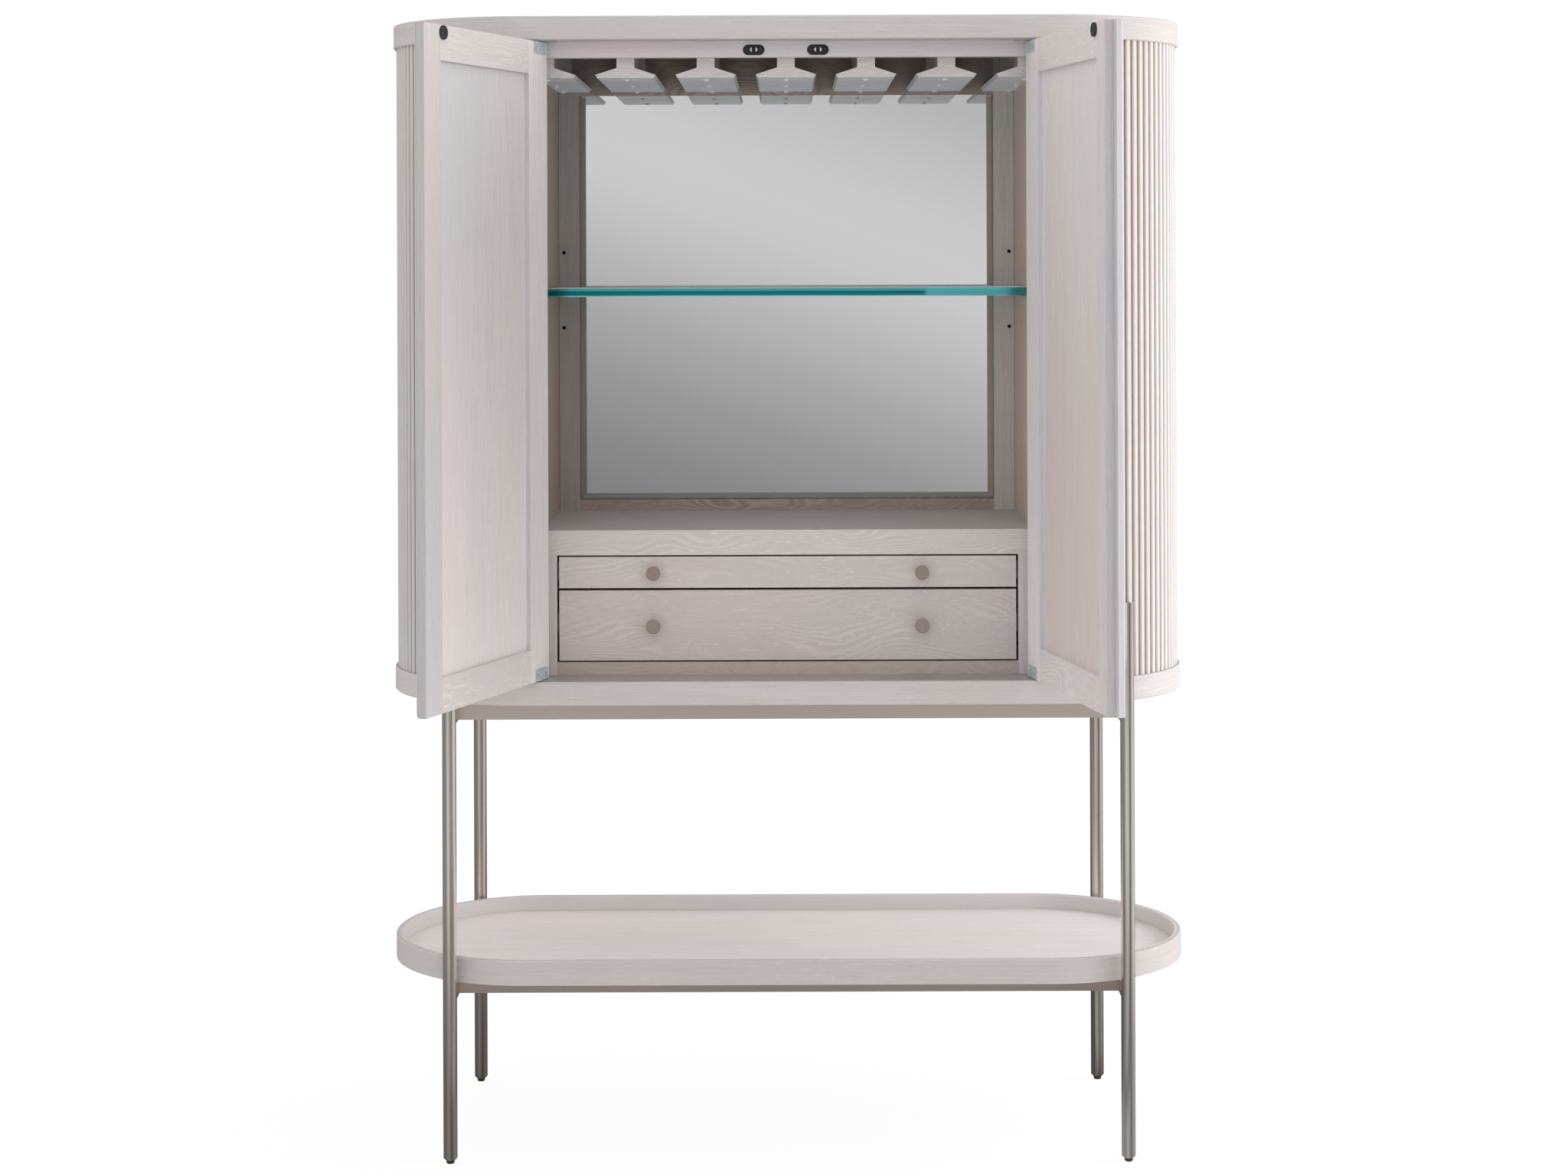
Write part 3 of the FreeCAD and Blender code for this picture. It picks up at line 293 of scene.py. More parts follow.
# How the log was cut: how far the fibres wander in metres, and how strongly rings, flecks and drifts show
grainCuts = {
    "straight": {"wander": 0.010, "rings": 0.10, "flecks": 0.30, "drift": 0.50},
    "crown": {"wander": 0.056, "rings": 0.34, "flecks": 0.75, "drift": 0.42},
    "rim": {"wander": 0.012, "rings": 0.12, "flecks": 0.45, "drift": 0.40},
    "slab": {"wander": 0.088, "rings": 0.75, "flecks": 0.50, "drift": 0.42},
    "reed": {"wander": 0.004, "rings": 0.0, "flecks": 0.15, "drift": 0.30},
}
# Each pattern's scale along and across the fibres, its detail and its roughness
grainNoises = {
    "slow": (5.5, 14.0, 1.0, 0.55),
    "fibre": (10.0, 620.0, 3.0, 0.65),
    "streak": (2.4, 95.0, 3.0, 0.55),
    "pores": (42.0, 1150.0, 2.0, 0.55),
    "flecks": (52.0, 430.0, 2.0, 0.60),
    "rose": (1.5, 6.5, 2.0, 0.55),
    "straw": (1.2, 8.0, 2.0, 0.55),
    "ash": (1.9, 5.0, 2.0, 0.55),
    "ringPatch": (5.0, 22.0, 2.0, 0.55),
    "fleckPatch": (7.0, 26.0, 2.0, 0.55),
}
# Between which levels of its noise a pattern sets in, and how strong it gets
grainLevels = {
    "fibre": (0.30, 0.70, 1.0),
    "streak": (0.36, 0.66, 0.42),
    "pores": (0.58, 0.72, 0.32),
    "flecks": (0.57, 0.70, 1.0),
    "drift": (0.46, 0.66, 1.0),
    "ringPatch": (0.42, 0.62, 1.0),
    "fleckPatch": (0.40, 0.60, 1.0),
}
driftOffsets = {"rose": 0.37, "straw": 1.91, "ash": 3.13}
ringRate = 900.0                # radians of the rings' wave in a metre across the fibres
ringStart = 0.1                 # the share of the wave at which a ring begins to show
boardSteps = (1.0, 0.7, 1.3)    # how a board's shift moves its grain along each axis
facedSpan = (0.80, 0.95)        # from where on a face counts as looking along an axis


def newMaterial(name):
    made = bpy.data.materials.new(name)
    made.use_nodes = True
    tree = made.node_tree
    tree.nodes.clear()
    shader = node(tree, "ShaderNodeBsdfPrincipled")
    node(tree, "ShaderNodeOutputMaterial", [(0, shader.outputs[0])])
    return made, tree, shader


def woodGrain(tree, place, grain, cut, shift, oak):
    # The colour of the wood with its fibres and pores. grain is the axis of the fibres, or "band" where
    # they run round a rim, and then every direction but the height counts as along them.
    look = grainCuts[cut]
    acrossAxes = {"x": "YZ", "z": "XY", "band": "Z"}[grain]
    mapping = node(tree, "ShaderNodeMapping", [("Vector", place)])
    mapping.inputs["Location"].default_value = [shift * step for step in boardSteps]
    moved = mapping.outputs[0]

    def grainNoise(source, pattern):
        along, across, detail, rough = grainNoises[pattern]
        scaled = node(tree, "ShaderNodeMapping", [("Vector", source)])
        scaled.inputs["Scale"].default_value = [across if axis in acrossAxes else along for axis in "XYZ"]
        noise = node(tree, "ShaderNodeTexNoise", [("Vector", scaled.outputs[0])])
        for socket, value in (("Scale", 1.0), ("Detail", detail), ("Roughness", rough)):
            noise.inputs[socket].default_value = value
        return noise.outputs["Fac"]

    def shown(source, pattern, strength=1.0):
        low, high, most = grainLevels[pattern]
        return ramp(tree, source, low, high, 0.0, most * strength)

    # The fibres wander sideways by a slow noise, which bends all the finer patterns alike
    aside = product(tree, maths(tree, "SUBTRACT", grainNoise(moved, "slow"), 0.5), look["wander"])
    push = node(tree, "ShaderNodeCombineXYZ", [(axis, aside) for axis in acrossAxes])
    bent = node(tree, "ShaderNodeVectorMath", [(0, moved), (1, push.outputs[0])], operation="ADD").outputs[0]

    fibre, pores = grainNoise(bent, "fibre"), grainNoise(bent, "pores")
    colour = mixColour(tree, shown(fibre, "fibre"), oak["bare"], oak["limed"])
    colour = mixColour(tree, shown(grainNoise(bent, "streak"), "streak"), colour, oak["limed"])
    for tint, offset in driftOffsets.items():
        away = node(tree, "ShaderNodeMapping", [("Vector", bent)])
        away.inputs["Location"].default_value = (offset, offset, offset)
        drift = grainNoise(away.outputs[0], tint)
        colour = mixColour(tree, shown(drift, "drift", look["drift"]), colour, oak[tint])
    if look["rings"]:
        axes = node(tree, "ShaderNodeSeparateXYZ", [(0, bent)])
        turns = [product(tree, axes.outputs[axis], ringRate) for axis in acrossAxes]
        ring = maths(tree, "SINE", maths(tree, "ADD", *turns) if len(turns) > 1 else turns[0])
        patch = shown(grainNoise(moved, "ringPatch"), "ringPatch", look["rings"])
        for peak, tint in ((1.0, "fleck"), (-1.0, "bare")):
            crest = ramp(tree, ring, ringStart * peak, peak)
            colour = mixColour(tree, product(tree, crest, patch), colour, oak[tint])
    where = shown(grainNoise(moved, "fleckPatch"), "fleckPatch")
    bright = product(tree, shown(grainNoise(bent, "flecks"), "flecks", look["flecks"]), where)
    colour = mixColour(tree, bright, colour, oak["fleck"])
    colour = mixColour(tree, shown(pores, "pores"), colour, oak["pore"])
    return colour, fibre, pores


def wipeAndShadeShare(tree, place, groove):
    # How far the grooves take their recess colour, all of it at the roots and none at the faces: the white wiped out
    # there, and on the doors and the left end painted shade as well
    whole = node(tree, "ShaderNodeSeparateXYZ", [(0, place)])
    side = maths(tree, "ABSOLUTE", whole.outputs["X"])
    if groove["round"]:
        # depth is the distance from the upright axis of the nearer end
        beyond = maths(tree, "MAXIMUM", maths(tree, "SUBTRACT", side, endCentre), 0.0)
        depth = distance(tree, beyond, maths(tree, "SUBTRACT", whole.outputs["Y"], caseMiddle))
    else:
        # depth is measured from the door's middle plane
        depth = product(tree, whole.outputs["Y"], -1.0)
    wipedAndShaded = ramp(tree, depth, groove["root"], groove["face"], 1.0, 0.0)
    if not groove["round"]:
        # the backing and the door's edge stay limed
        wipedAndShaded = product(tree, wipedAndShaded, ramp(tree, depth, *groove["backing"]))
        wipedAndShaded = product(tree, wipedAndShaded, ramp(tree, side, *groove["edge"], 1.0, 0.0))
    return product(tree, wipedAndShaded, groove["share"])


def holeShadeShare(tree, place, marks):
    # Painted shade in the mouths of the pin holes above and below the shelf, and a painted shade line along the seam
    # where a stile meets its wall
    whole = node(tree, "ShaderNodeSeparateXYZ", [(0, place)])
    side = maths(tree, "ABSOLUTE", whole.outputs["X"])
    rise = maths(tree, "ABSOLUTE", maths(tree, "SUBTRACT", whole.outputs["Z"], marks["height"]))
    away = distance(tree, maths(tree, "SUBTRACT", side, marks["side"]),
                    maths(tree, "SUBTRACT", rise, marks["pitch"]))
    return maths(tree, "MAXIMUM", ramp(tree, away, *marks["radius"], 1.0, 0.0),
                 ramp(tree, side, *marks["seam"], 0.0, marks["seamShare"]))


def oakMaterial(name, grain, cut="straight", shift=0.0, oak=limedOak, pivot=None, turn=0.0, groove=None, tone=1.0,
                facing=None, lean=None, marks=None):
    # pivot and turn undo a door's opening, so that its fibres keep to its frame. groove gives where the
    # recesses lie, and facing an axis with the tone of the faces that look along it. lean gives the tones
    # of both ends of a stretch of an axis, painted light and shade where light falls unevenly: axis,
    # stretch, two tones. marks gives the painted shade laid in the pin holes' mouths and along the seam.
    made, tree, shader = newMaterial(name)
    texture = node(tree, "ShaderNodeTexCoord")
    place, normal = texture.outputs["Object"], texture.outputs["Normal"]
    if pivot is not None:
        centred = node(tree, "ShaderNodeMapping", [("Vector", place)])
        centred.inputs["Location"].default_value = (-pivot[0], -pivot[1], 0.0)
        turned = node(tree, "ShaderNodeMapping", [("Vector", centred.outputs[0])])
        looked = node(tree, "ShaderNodeMapping", [("Vector", normal)], vector_type="VECTOR")
        for mapping in (turned, looked):
            mapping.inputs["Rotation"].default_value = (0.0, 0.0, turn)
        place, normal = turned.outputs[0], looked.outputs[0]
    colour, fibre, pores = woodGrain(tree, place, grain, cut, shift, oak)
    if groove:
        colour = mixColour(tree, wipeAndShadeShare(tree, place, groove), colour, oak["recess"])
    if facing:
        axis, faceTone = facing
        looks = maths(tree, "ABSOLUTE", axisOf(tree, normal, axis))
        colour = mixColour(tree, ramp(tree, looks, *facedSpan), colour, tinted(tree, colour, faceTone))
    if lean:
        axis, stretch, first, last = lean
        share = ramp(tree, axisOf(tree, place, axis), *stretch)
        colour = mixColour(tree, share, tinted(tree, colour, first), tinted(tree, colour, last))
    if tone != 1.0:
        colour = tinted(tree, colour, tone if isinstance(tone, tuple) else (tone,) * 3)
    if marks:
        colour = mixColour(tree, holeShadeShare(tree, place, marks), colour, marks["colour"])
    tree.links.new(colour, shader.inputs["Base Color"])
    polish = ramp(tree, fibre, *grainLevels["fibre"][:2], *oak["roughness"])
    tree.links.new(polish, shader.inputs["Roughness"])
    shader.inputs["Specular IOR Level"].default_value = oak["specular"]
    relief = node(tree, "ShaderNodeBump", [("Height", pores)], Distance=oak["relief"])
    relief.inputs["Strength"].default_value = oak["reliefShare"]
    relief.invert = True
    tree.links.new(relief.outputs[0], shader.inputs["Normal"])
    return made


def paint(material, *names):
    for name in names:
        mesh = cabinet[name].data
        mesh.materials.clear()
        mesh.materials.append(material)


# Where the grooves between the reeds begin and end, as distances from an end's axis or a door's middle plane
doorGrooves = {"round": False, "root": 0.0082, "face": 0.0104, "backing": (0.0050, 0.0058), "share": 0.85}
grooves = {
    "ends": {"round": True, "root": 0.1994, "face": 0.2014, "share": 1.0},
    "rim": {"round": True, "root": 0.1960, "face": 0.2040, "share": 0.45},
    "left": {**doorGrooves, "edge": (0.3463, 0.3471)},
    "right": {**doorGrooves, "edge": (0.3583, 0.3591)},
}
# Painted light and shade on the doors, as light falls on them: the panels and stiles lighter at one end of a span
# than at the other, the rails toned lighter, the edge faces darker and the right door's lip lighter and bluer
doorLightTones = {
    "left": {
        "panel": ((1.27, 1.28, 1.30), (1.06, 1.07, 1.09)),
        "rails": 1.10,
        "stiles": ((1.21, 1.25, 1.26), (1.02, 1.03, 1.05)),
        "span": (0.05, 0.31),
        "edge": (0.78, 0.79, 0.80),
        "lip": (0.78, 0.79, 0.80),
    },
    "right": {
        "panel": ((1.16, 1.12, 1.09), (1.26, 1.27, 1.29)),
        "rails": 1.20,
        "stiles": ((1.34, 1.36, 1.37), (1.16, 1.16, 1.17)),
        "span": (-0.05, -0.31),
        "edge": (0.74, 0.76, 0.80),
        "lip": (1.00, 1.08, 1.18),
    },
}
panelSpan = (0.72, 1.52)
# The doors' grooves get a darker recess colour: painted shade in the grooves
shadedDoorReedOak = {**limedOak, "recess": (0.430, 0.345, 0.295)}
# The left end's grooves are darker than the right's: painted shade on the side away from the light
shadedLeftReedOak = {**limedOak, "recess": (0.470, 0.385, 0.310)}
trayRimOak = {**limedOak, "recess": (0.96, 0.93, 0.91)}
# Painted shade: the mouths of the pin holes and the seam between stile and wall go near black
stileShadeMarks = {
    "side": 0.347,
    "height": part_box("shelf_pins")[1][2] - 0.0037,      # the middle hole, below the top of its pin
    "pitch": 0.0585,
    "radius": (0.0025, 0.0033),
    "seam": (0.3541, 0.3547),
    "seamShare": 0.75,
    "colour": (0.012, 0.010, 0.010),
}
# Painted light inside the case: the walls and the mirror's stiles lighter towards the right, where the light comes in
insideLightLean = ("X", (-0.36, 0.36), (0.90, 0.90, 0.90), (1.38, 1.38, 1.38))

paint(oakMaterial("oakTop", "band", "rim", 0.3, tone=0.90), "top_board")
paint(oakMaterial("oakBase", "band", "rim", 1.7, tone=0.94, facing=("Z", (0.70, 0.70, 0.70))), "bottom_board")
paint(oakMaterial("oakPosts", "z", shift=0.9), "back_panel", "jambs")
# The cores seen between the reeds are toned darker and warmer: painted shade in the gaps
paint(oakMaterial("oakEndCores", "z", "reed", 0.4, tone=(0.66, 0.57, 0.50)), "right_end_core", "left_end_core")
# Painted light and shade on the ends: the left end's reeds toned darker, the right end's lighter and cooler, as the
# light comes from the right
paint(oakMaterial("oakLeftReeds", "z", "reed", 2.3, oak=shadedLeftReedOak, groove=grooves["ends"],
                  tone=(0.93, 0.95, 0.95)), "left_end_slats")
paint(oakMaterial("oakRightReeds", "z", "reed", 5.2, groove=grooves["ends"],
                  tone=(0.995, 1.035, 1.04)), "right_end_slats")
for side, shift in (("left", 3.1), ("right", 4.3)):
    joint = hingeJoints[side + "_door_hinge"]
    opened = math.radians(-joint["range_deg"][0]) * -joint["axis"][2]    # turns the open door shut
    door = {"pivot": joint["pos_m"], "turn": opened}
    tones = doorLightTones[side]
    # the stiles, rails, panel and reeds take the doors' painted light and shade
    paint(oakMaterial(side + "DoorStiles", "z", shift=shift, lean=("X", tones["span"], *tones["stiles"]),
                      facing=("X", tones["edge"]), **door), side + "_door_stiles")
    paint(oakMaterial(side + "DoorRails", "x", "crown", shift + 0.6, tone=tones["rails"], **door),
          side + "_door_rails")
    paint(oakMaterial(side + "DoorPanel", "z", shift=shift + 2.2, lean=("Z", panelSpan, *tones["panel"]), **door),
          side + "_door_panel")
    paint(oakMaterial(side + "DoorReeds", "z", "reed", shift + 1.1, oak=shadedDoorReedOak, groove=grooves[side],
                      facing=("X", tones["lip"]), **door), side + "_door_reeded_face")
paint(oakMaterial("oakFaceRail", "x", shift=7.7, tone=(1.09, 1.07, 1.11)), "top_face_rail")
paint(oakMaterial("oakUnitTop", "x", "crown", 8.2, facing=("Z", (0.85, 0.86, 0.85))), "drawer_unit_top")
paint(oakMaterial("oakUnitSides", "z", shift=9.0), "drawer_unit_sides")
paint(oakMaterial("oakUnitRail", "x", "crown", 2.0, tone=(0.78, 0.72, 0.67)), "drawer_bottom_rail")
paint(oakMaterial("oakUpperFront", "x", "crown", 3.7, tone=(0.97, 0.965, 0.93)), "upper_drawer_front")
paint(oakMaterial("oakLowerFront", "x", "crown", 5.9, tone=(0.945, 0.915, 0.90)), "lower_drawer_front")
# The tray floor is toned lighter: painted light falling on it from above
paint(oakMaterial("oakTrayFloor", "x", shift=4.9, tone=1.30), "tray_floor")
paint(oakMaterial("oakTrayRim", "band", "rim", 6.1, oak=trayRimOak, groove=grooves["rim"], tone=0.88),
      "tray_rim_sides", "tray_rim_ends")
paint(oakMaterial("oakWalls", "z", shift=7.1, oak=shadedOak, lean=insideLightLean, tone=(1.02, 0.975, 0.92)), "side_walls")
paint(oakMaterial("oakMirrorStiles", "z", shift=7.1, oak=shadedOak, lean=insideLightLean, tone=(0.87, 0.935, 1.02),
                  marks=stileShadeMarks), "mirror_stiles")
paint(oakMaterial("oakMirrorRails", "x", "slab", 8.8, oak=railOak), "mirror_rails")
# Painted light on the stemware rails: their faces that look up and down toned lighter and bluer as a painted
# reflection, and the rails lighter towards the back
paint(oakMaterial("oakStemRails", "x", "crown", 1.4, facing=("Z", (1.27, 1.42, 1.54)),
                  lean=("Y", (0.12, 0.34), (1.0, 1.0, 1.0), (1.22, 1.34, 1.38))), "wine_glass_rails")
paint(oakMaterial("drawerBoxWood", "x", shift=3.3, oak=boxWood), "upper_drawer_box", "lower_drawer_box",
      "upper_drawer_bottom", "lower_drawer_bottom")
print("oak laid")

metals = {
    "champagne": {"colour": (1.000, 0.915, 0.835), "roughness": 0.20, "brush": 0.05},
    # shaded, lowRail and knob are darker copies of the same champagne metal: painted shade on the back legs, the
    # lower rails and the knobs
    "shaded": {"colour": (0.850, 0.765, 0.690), "roughness": 0.22, "brush": 0.05},
    "rail": {"colour": (0.730, 0.637, 0.560), "roughness": 0.26, "brush": 0.025},
    "lowRail": {"colour": (0.610, 0.505, 0.440), "roughness": 0.26, "brush": 0.025},
    "knob": {"colour": (0.560, 0.455, 0.395), "roughness": 0.34, "brush": 0.12},
    "zinc": {"colour": (0.780, 0.880, 0.940), "roughness": 0.45, "brush": 0.25, "metallic": 0.55},
    "plate": {"colour": (0.640, 0.690, 0.640), "roughness": 0.40, "brush": 0.22},
    "steel": {"colour": (0.900, 0.900, 0.890), "roughness": 0.24, "brush": 0.06},
    "dark": {"colour": (0.160, 0.155, 0.150), "roughness": 0.40, "brush": 0.20},
}


metalLook = {
    "drawn": (0.3, 0.7),                # between which levels of the fine noise the colour turns
    "cloudScale": 22.0,
    "cloud": (0.45, 0.75, 0.0, 0.5),    # levels of the broad noise, and how much it dulls
    "polish": (0.2, 0.8),
    "smoother": 0.5,                    # shares of the brush that the roughness varies by
    "rougher": 0.7,
}


def metalMaterial(name, colour, roughness, brush, stretch=(300.0, 300.0, 300.0), metallic=1.0, reflectionBands=None):
    # Drawn lines along the axis of the least stretch, in the colour and in the polish. The bands are painted
    # reflections: light and dark tones across a tube at both sides of the cabinet, from its left edge to its right.
    made, tree, shader = newMaterial(name)
    look = metalLook
    place = node(tree, "ShaderNodeTexCoord")
    drawn = node(tree, "ShaderNodeMapping", [("Vector", place.outputs["Object"])])
    drawn.inputs["Scale"].default_value = stretch
    noise = node(tree, "ShaderNodeTexNoise", [("Vector", drawn.outputs[0])])
    cloud = node(tree, "ShaderNodeTexNoise", [("Vector", place.outputs["Object"])])
    for texture, scale, detail in ((noise, 1.0, 3.0), (cloud, look["cloudScale"], 2.0)):
        texture.inputs["Scale"].default_value = scale
        texture.inputs["Detail"].default_value = detail
    dull = tuple(c * (1.0 - brush) for c in colour)
    fine = mixColour(tree, ramp(tree, noise.outputs["Fac"], *look["drawn"]), dull, colour)
    fine = mixColour(tree, ramp(tree, cloud.outputs["Fac"], *look["cloud"]), fine, dull)
    if reflectionBands:
        x = axisOf(tree, place.outputs["Object"], "X")
        aside = maths(tree, "SUBTRACT", x, product(tree, maths(tree, "SIGN", x), reflectionBands["centre"]))
        half = reflectionBands["half"]
        tones = [((2 * share - 1) * half, level) for share, level in reflectionBands["tones"]]
        fine = tinted(tree, fine, greyStops(tree, aside, tones, -half, half))
    tree.links.new(fine, shader.inputs["Base Color"])
    shader.inputs["Metallic"].default_value = metallic
    polish = (roughness - brush * look["smoother"], roughness + brush * look["rougher"])
    tree.links.new(ramp(tree, noise.outputs["Fac"], *look["polish"], *polish), shader.inputs["Roughness"])
    return made


# Painted reflections on the legs: light and dark bands across each tube
legHalf = 0.0101
legReflectionBands = {
    "half": legHalf,
    "centre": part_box("front_legs")[1][0] - legHalf,
    "tones": [(0.0, 0.92), (0.06, 0.70), (0.27, 0.67), (0.37, 1.0), (0.47, 0.95), (0.57, 0.64), (0.63, 0.40),
              (0.70, 0.58), (0.78, 0.85), (0.88, 0.99), (1.0, 1.0)],
}
upright, lengthways, deepways = (900.0, 900.0, 9.0), (9.0, 900.0, 900.0), (900.0, 9.0, 900.0)
paint(metalMaterial("frontLegMetal", **metals["champagne"], stretch=upright, reflectionBands=legReflectionBands), "front_legs")
paint(metalMaterial("backLegMetal", **metals["shaded"], stretch=upright, reflectionBands=legReflectionBands), "back_legs")
paint(metalMaterial("upperRailMetal", **metals["rail"], stretch=lengthways), "upper_long_rails")
paint(metalMaterial("lowerRailMetal", **metals["lowRail"], stretch=lengthways), "lower_long_rails")
paint(metalMaterial("sideRailMetal", **metals["rail"], stretch=deepways), "upper_side_rails", "lower_side_rails")
paint(metalMaterial("knobMetal", **metals["knob"]), "upper_drawer_knobs", "lower_drawer_knobs")
paint(metalMaterial("zincLeaf", **metals["zinc"], stretch=(260.0, 260.0, 260.0)), "left_door_hinge_leaves",
      "right_door_hinge_leaves", "slide_channels", "upper_drawer_slides", "lower_drawer_slides")
paint(metalMaterial("passivatedPlate", **metals["plate"], stretch=(180.0, 180.0, 180.0)), "hinge_plates")
paint(metalMaterial("darkSteel", **metals["dark"]), "shelf_pins")


def plainMaterial(name, colour, roughness, mottle=0.08, size=120.0, relief=0.0001):
    # A moulded or painted surface: one colour with a faint mottle and a fine relief
    made, tree, shader = newMaterial(name)
    place = node(tree, "ShaderNodeTexCoord")
    noise = node(tree, "ShaderNodeTexNoise", [("Vector", place.outputs["Object"])])
    noise.inputs["Scale"].default_value = size
    noise.inputs["Detail"].default_value = 3.0
    dull = tuple(c * (1.0 - mottle) for c in colour)
    share = ramp(tree, noise.outputs["Fac"], 0.3, 0.7)
    tree.links.new(mixColour(tree, share, dull, colour), shader.inputs["Base Color"])
    shader.inputs["Roughness"].default_value = roughness
    bump = node(tree, "ShaderNodeBump", [("Height", noise.outputs["Fac"])], Distance=relief)
    tree.links.new(bump.outputs[0], shader.inputs["Normal"])
    return made


catchPlastic = plainMaterial("catchPlastic", (0.030, 0.031, 0.036), 0.48, mottle=0.75, size=700.0, relief=0.0003)
strikeBlack = plainMaterial("strikeBlack", (0.034, 0.035, 0.038), 0.45, mottle=0.30, size=400.0)
glidePlastic = plainMaterial("glidePlastic", (0.070, 0.030, 0.026), 0.32, mottle=0.25)
paint(catchPlastic, "magnetic_catches")


mirrorLook = {
    "silver": ((0.915, 0.918, 0.915), (0.940, 0.944, 0.940)),
    "mottleScale": 3.0,
    "bevel": (0.62, 0.68, 0.66),
    "bevelSpan": (0.9975, 0.9995),      # the sloped rim looks this far away from straight ahead
    "roughness": 0.02,
}


def mirrorMaterial(look):
    # Silvering behind clear glass. The sloped rim, told by the face's direction, shows the glass's green.
    made, tree, shader = newMaterial("silvering")
    place = node(tree, "ShaderNodeTexCoord")
    noise = node(tree, "ShaderNodeTexNoise", [("Vector", place.outputs["Object"])])
    noise.inputs["Scale"].default_value = look["mottleScale"]
    silver = mixColour(tree, noise.outputs["Fac"], *look["silver"])
    ahead = maths(tree, "ABSOLUTE", axisOf(tree, place.outputs["Normal"], "Y"))
    flat = ramp(tree, ahead, *look["bevelSpan"])
    tree.links.new(mixColour(tree, flat, look["bevel"], silver), shader.inputs["Base Color"])
    shader.inputs["Metallic"].default_value = 1.0
    shader.inputs["Roughness"].default_value = look["roughness"]
    return made


shelfGlassLook = {
    # colours up the edge, by the share of its height: the glass's own deep green, with painted highlights in the pale
    # bands at its bottom and top
    "edge": [(0.0, (0.300, 0.700, 0.720)), (0.10, (0.200, 0.560, 0.600)), (0.16, (0.005, 0.190, 0.215)),
             (0.42, (0.006, 0.200, 0.222)), (0.46, (0.001, 0.135, 0.158)), (0.58, (0.001, 0.145, 0.165)),
             (0.66, (0.020, 0.285, 0.312)), (0.80, (0.075, 0.340, 0.365)), (1.0, (0.160, 0.360, 0.385))],
    "edgeWaves": (3.0, 3.0, 90.0),              # scale of the noise that bends these colours
    "edgeWander": 0.0014,
    "litEnd": (0.115, 0.520, 0.570),
    "litSpan": (0.198, 0.207, 0.0, 0.72),     # where along X the edge is painted lighter, a painted light on its right end, and how much
    "endShadeColour": (0.0, 0.006, 0.006),
    "endShade": (0.312, 0.336, 1.0, 0.42),      # the edge's ends, painted dark as shade in front of the dark walls
    "edgeGloss": 0.10,
    "faceSpan": (0.4, 0.9),                     # from where on a surface counts as a face and not an edge
    "face": (0.420, 0.480, 0.500),
    "faceCover": (0.3, 1.0, 0.16, 0.60),        # how much the face's painted grey reflection hides, seen straight on and edgeways
    "faceGloss": 0.5,
    "skimSpan": (0.93, 0.98),                   # seen almost along the face, where it takes a painted pale reflection
    "skimReflection": (0.900, 0.960, 0.980),
    "skimReflectionCover": 0.93,
    "roughness": 0.04,
}


def shelfGlass(look):
    # Clear through its faces and deep green through its edges, told apart by the face's own direction. The faces
    # carry a painted reflection, the edges painted highlights, light and shade
    made, tree, shader = newMaterial("shelfGlass")
    place = node(tree, "ShaderNodeTexCoord")
    whole = node(tree, "ShaderNodeSeparateXYZ", [(0, place.outputs["Object"])])
    face = ramp(tree, maths(tree, "ABSOLUTE", axisOf(tree, place.outputs["Normal"], "Z")), *look["faceSpan"])
    solid = maths(tree, "SUBTRACT", 1.0, face)
    spread = node(tree, "ShaderNodeMapping", [("Vector", place.outputs["Object"])])
    spread.inputs["Scale"].default_value = look["edgeWaves"]
    noise = node(tree, "ShaderNodeTexNoise", [("Vector", spread.outputs[0])])
    noise.inputs["Scale"].default_value = 1.0
    wander = product(tree, maths(tree, "SUBTRACT", noise.outputs["Fac"], 0.5), look["edgeWander"])
    low, high = (corner[2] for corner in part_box("glass_shelf"))
    share = ramp(tree, maths(tree, "ADD", whole.outputs["Z"], wander), low, high, smooth=False)
    edge = colourStops(tree, share, look["edge"])
    edge = mixColour(tree, ramp(tree, whole.outputs["X"], *look["litSpan"]), edge, look["litEnd"])
    shade = ramp(tree, maths(tree, "ABSOLUTE", whole.outputs["X"]), *look["endShade"])
    edge = mixColour(tree, shade, look["endShadeColour"], edge)
    grazing = node(tree, "ShaderNodeLayerWeight", Blend=0.5).outputs["Facing"]
    skimming = ramp(tree, grazing, *look["skimSpan"])
    plain = mixColour(tree, skimming, look["face"], look["skimReflection"])
    tree.links.new(mixColour(tree, face, edge, plain), shader.inputs["Base Color"])
    cover = maths(tree, "MAXIMUM", ramp(tree, grazing, *look["faceCover"]),
                  product(tree, skimming, look["skimReflectionCover"]))
    tree.links.new(maths(tree, "ADD", solid, product(tree, face, cover)), shader.inputs["Alpha"])
    faceGloss = product(tree, product(tree, face, maths(tree, "SUBTRACT", 1.0, skimming)), look["faceGloss"])
    gloss = maths(tree, "ADD", faceGloss, product(tree, solid, look["edgeGloss"]))
    tree.links.new(gloss, shader.inputs["Specular IOR Level"])
    shader.inputs["Roughness"].default_value = look["roughness"]
    return made


paint(mirrorMaterial(mirrorLook), "mirror")
paint(shelfGlass(shelfGlassLook), "glass_shelf")
print("finishes on", len(cabinet), "nodes")


sharpEdge = math.radians(35)


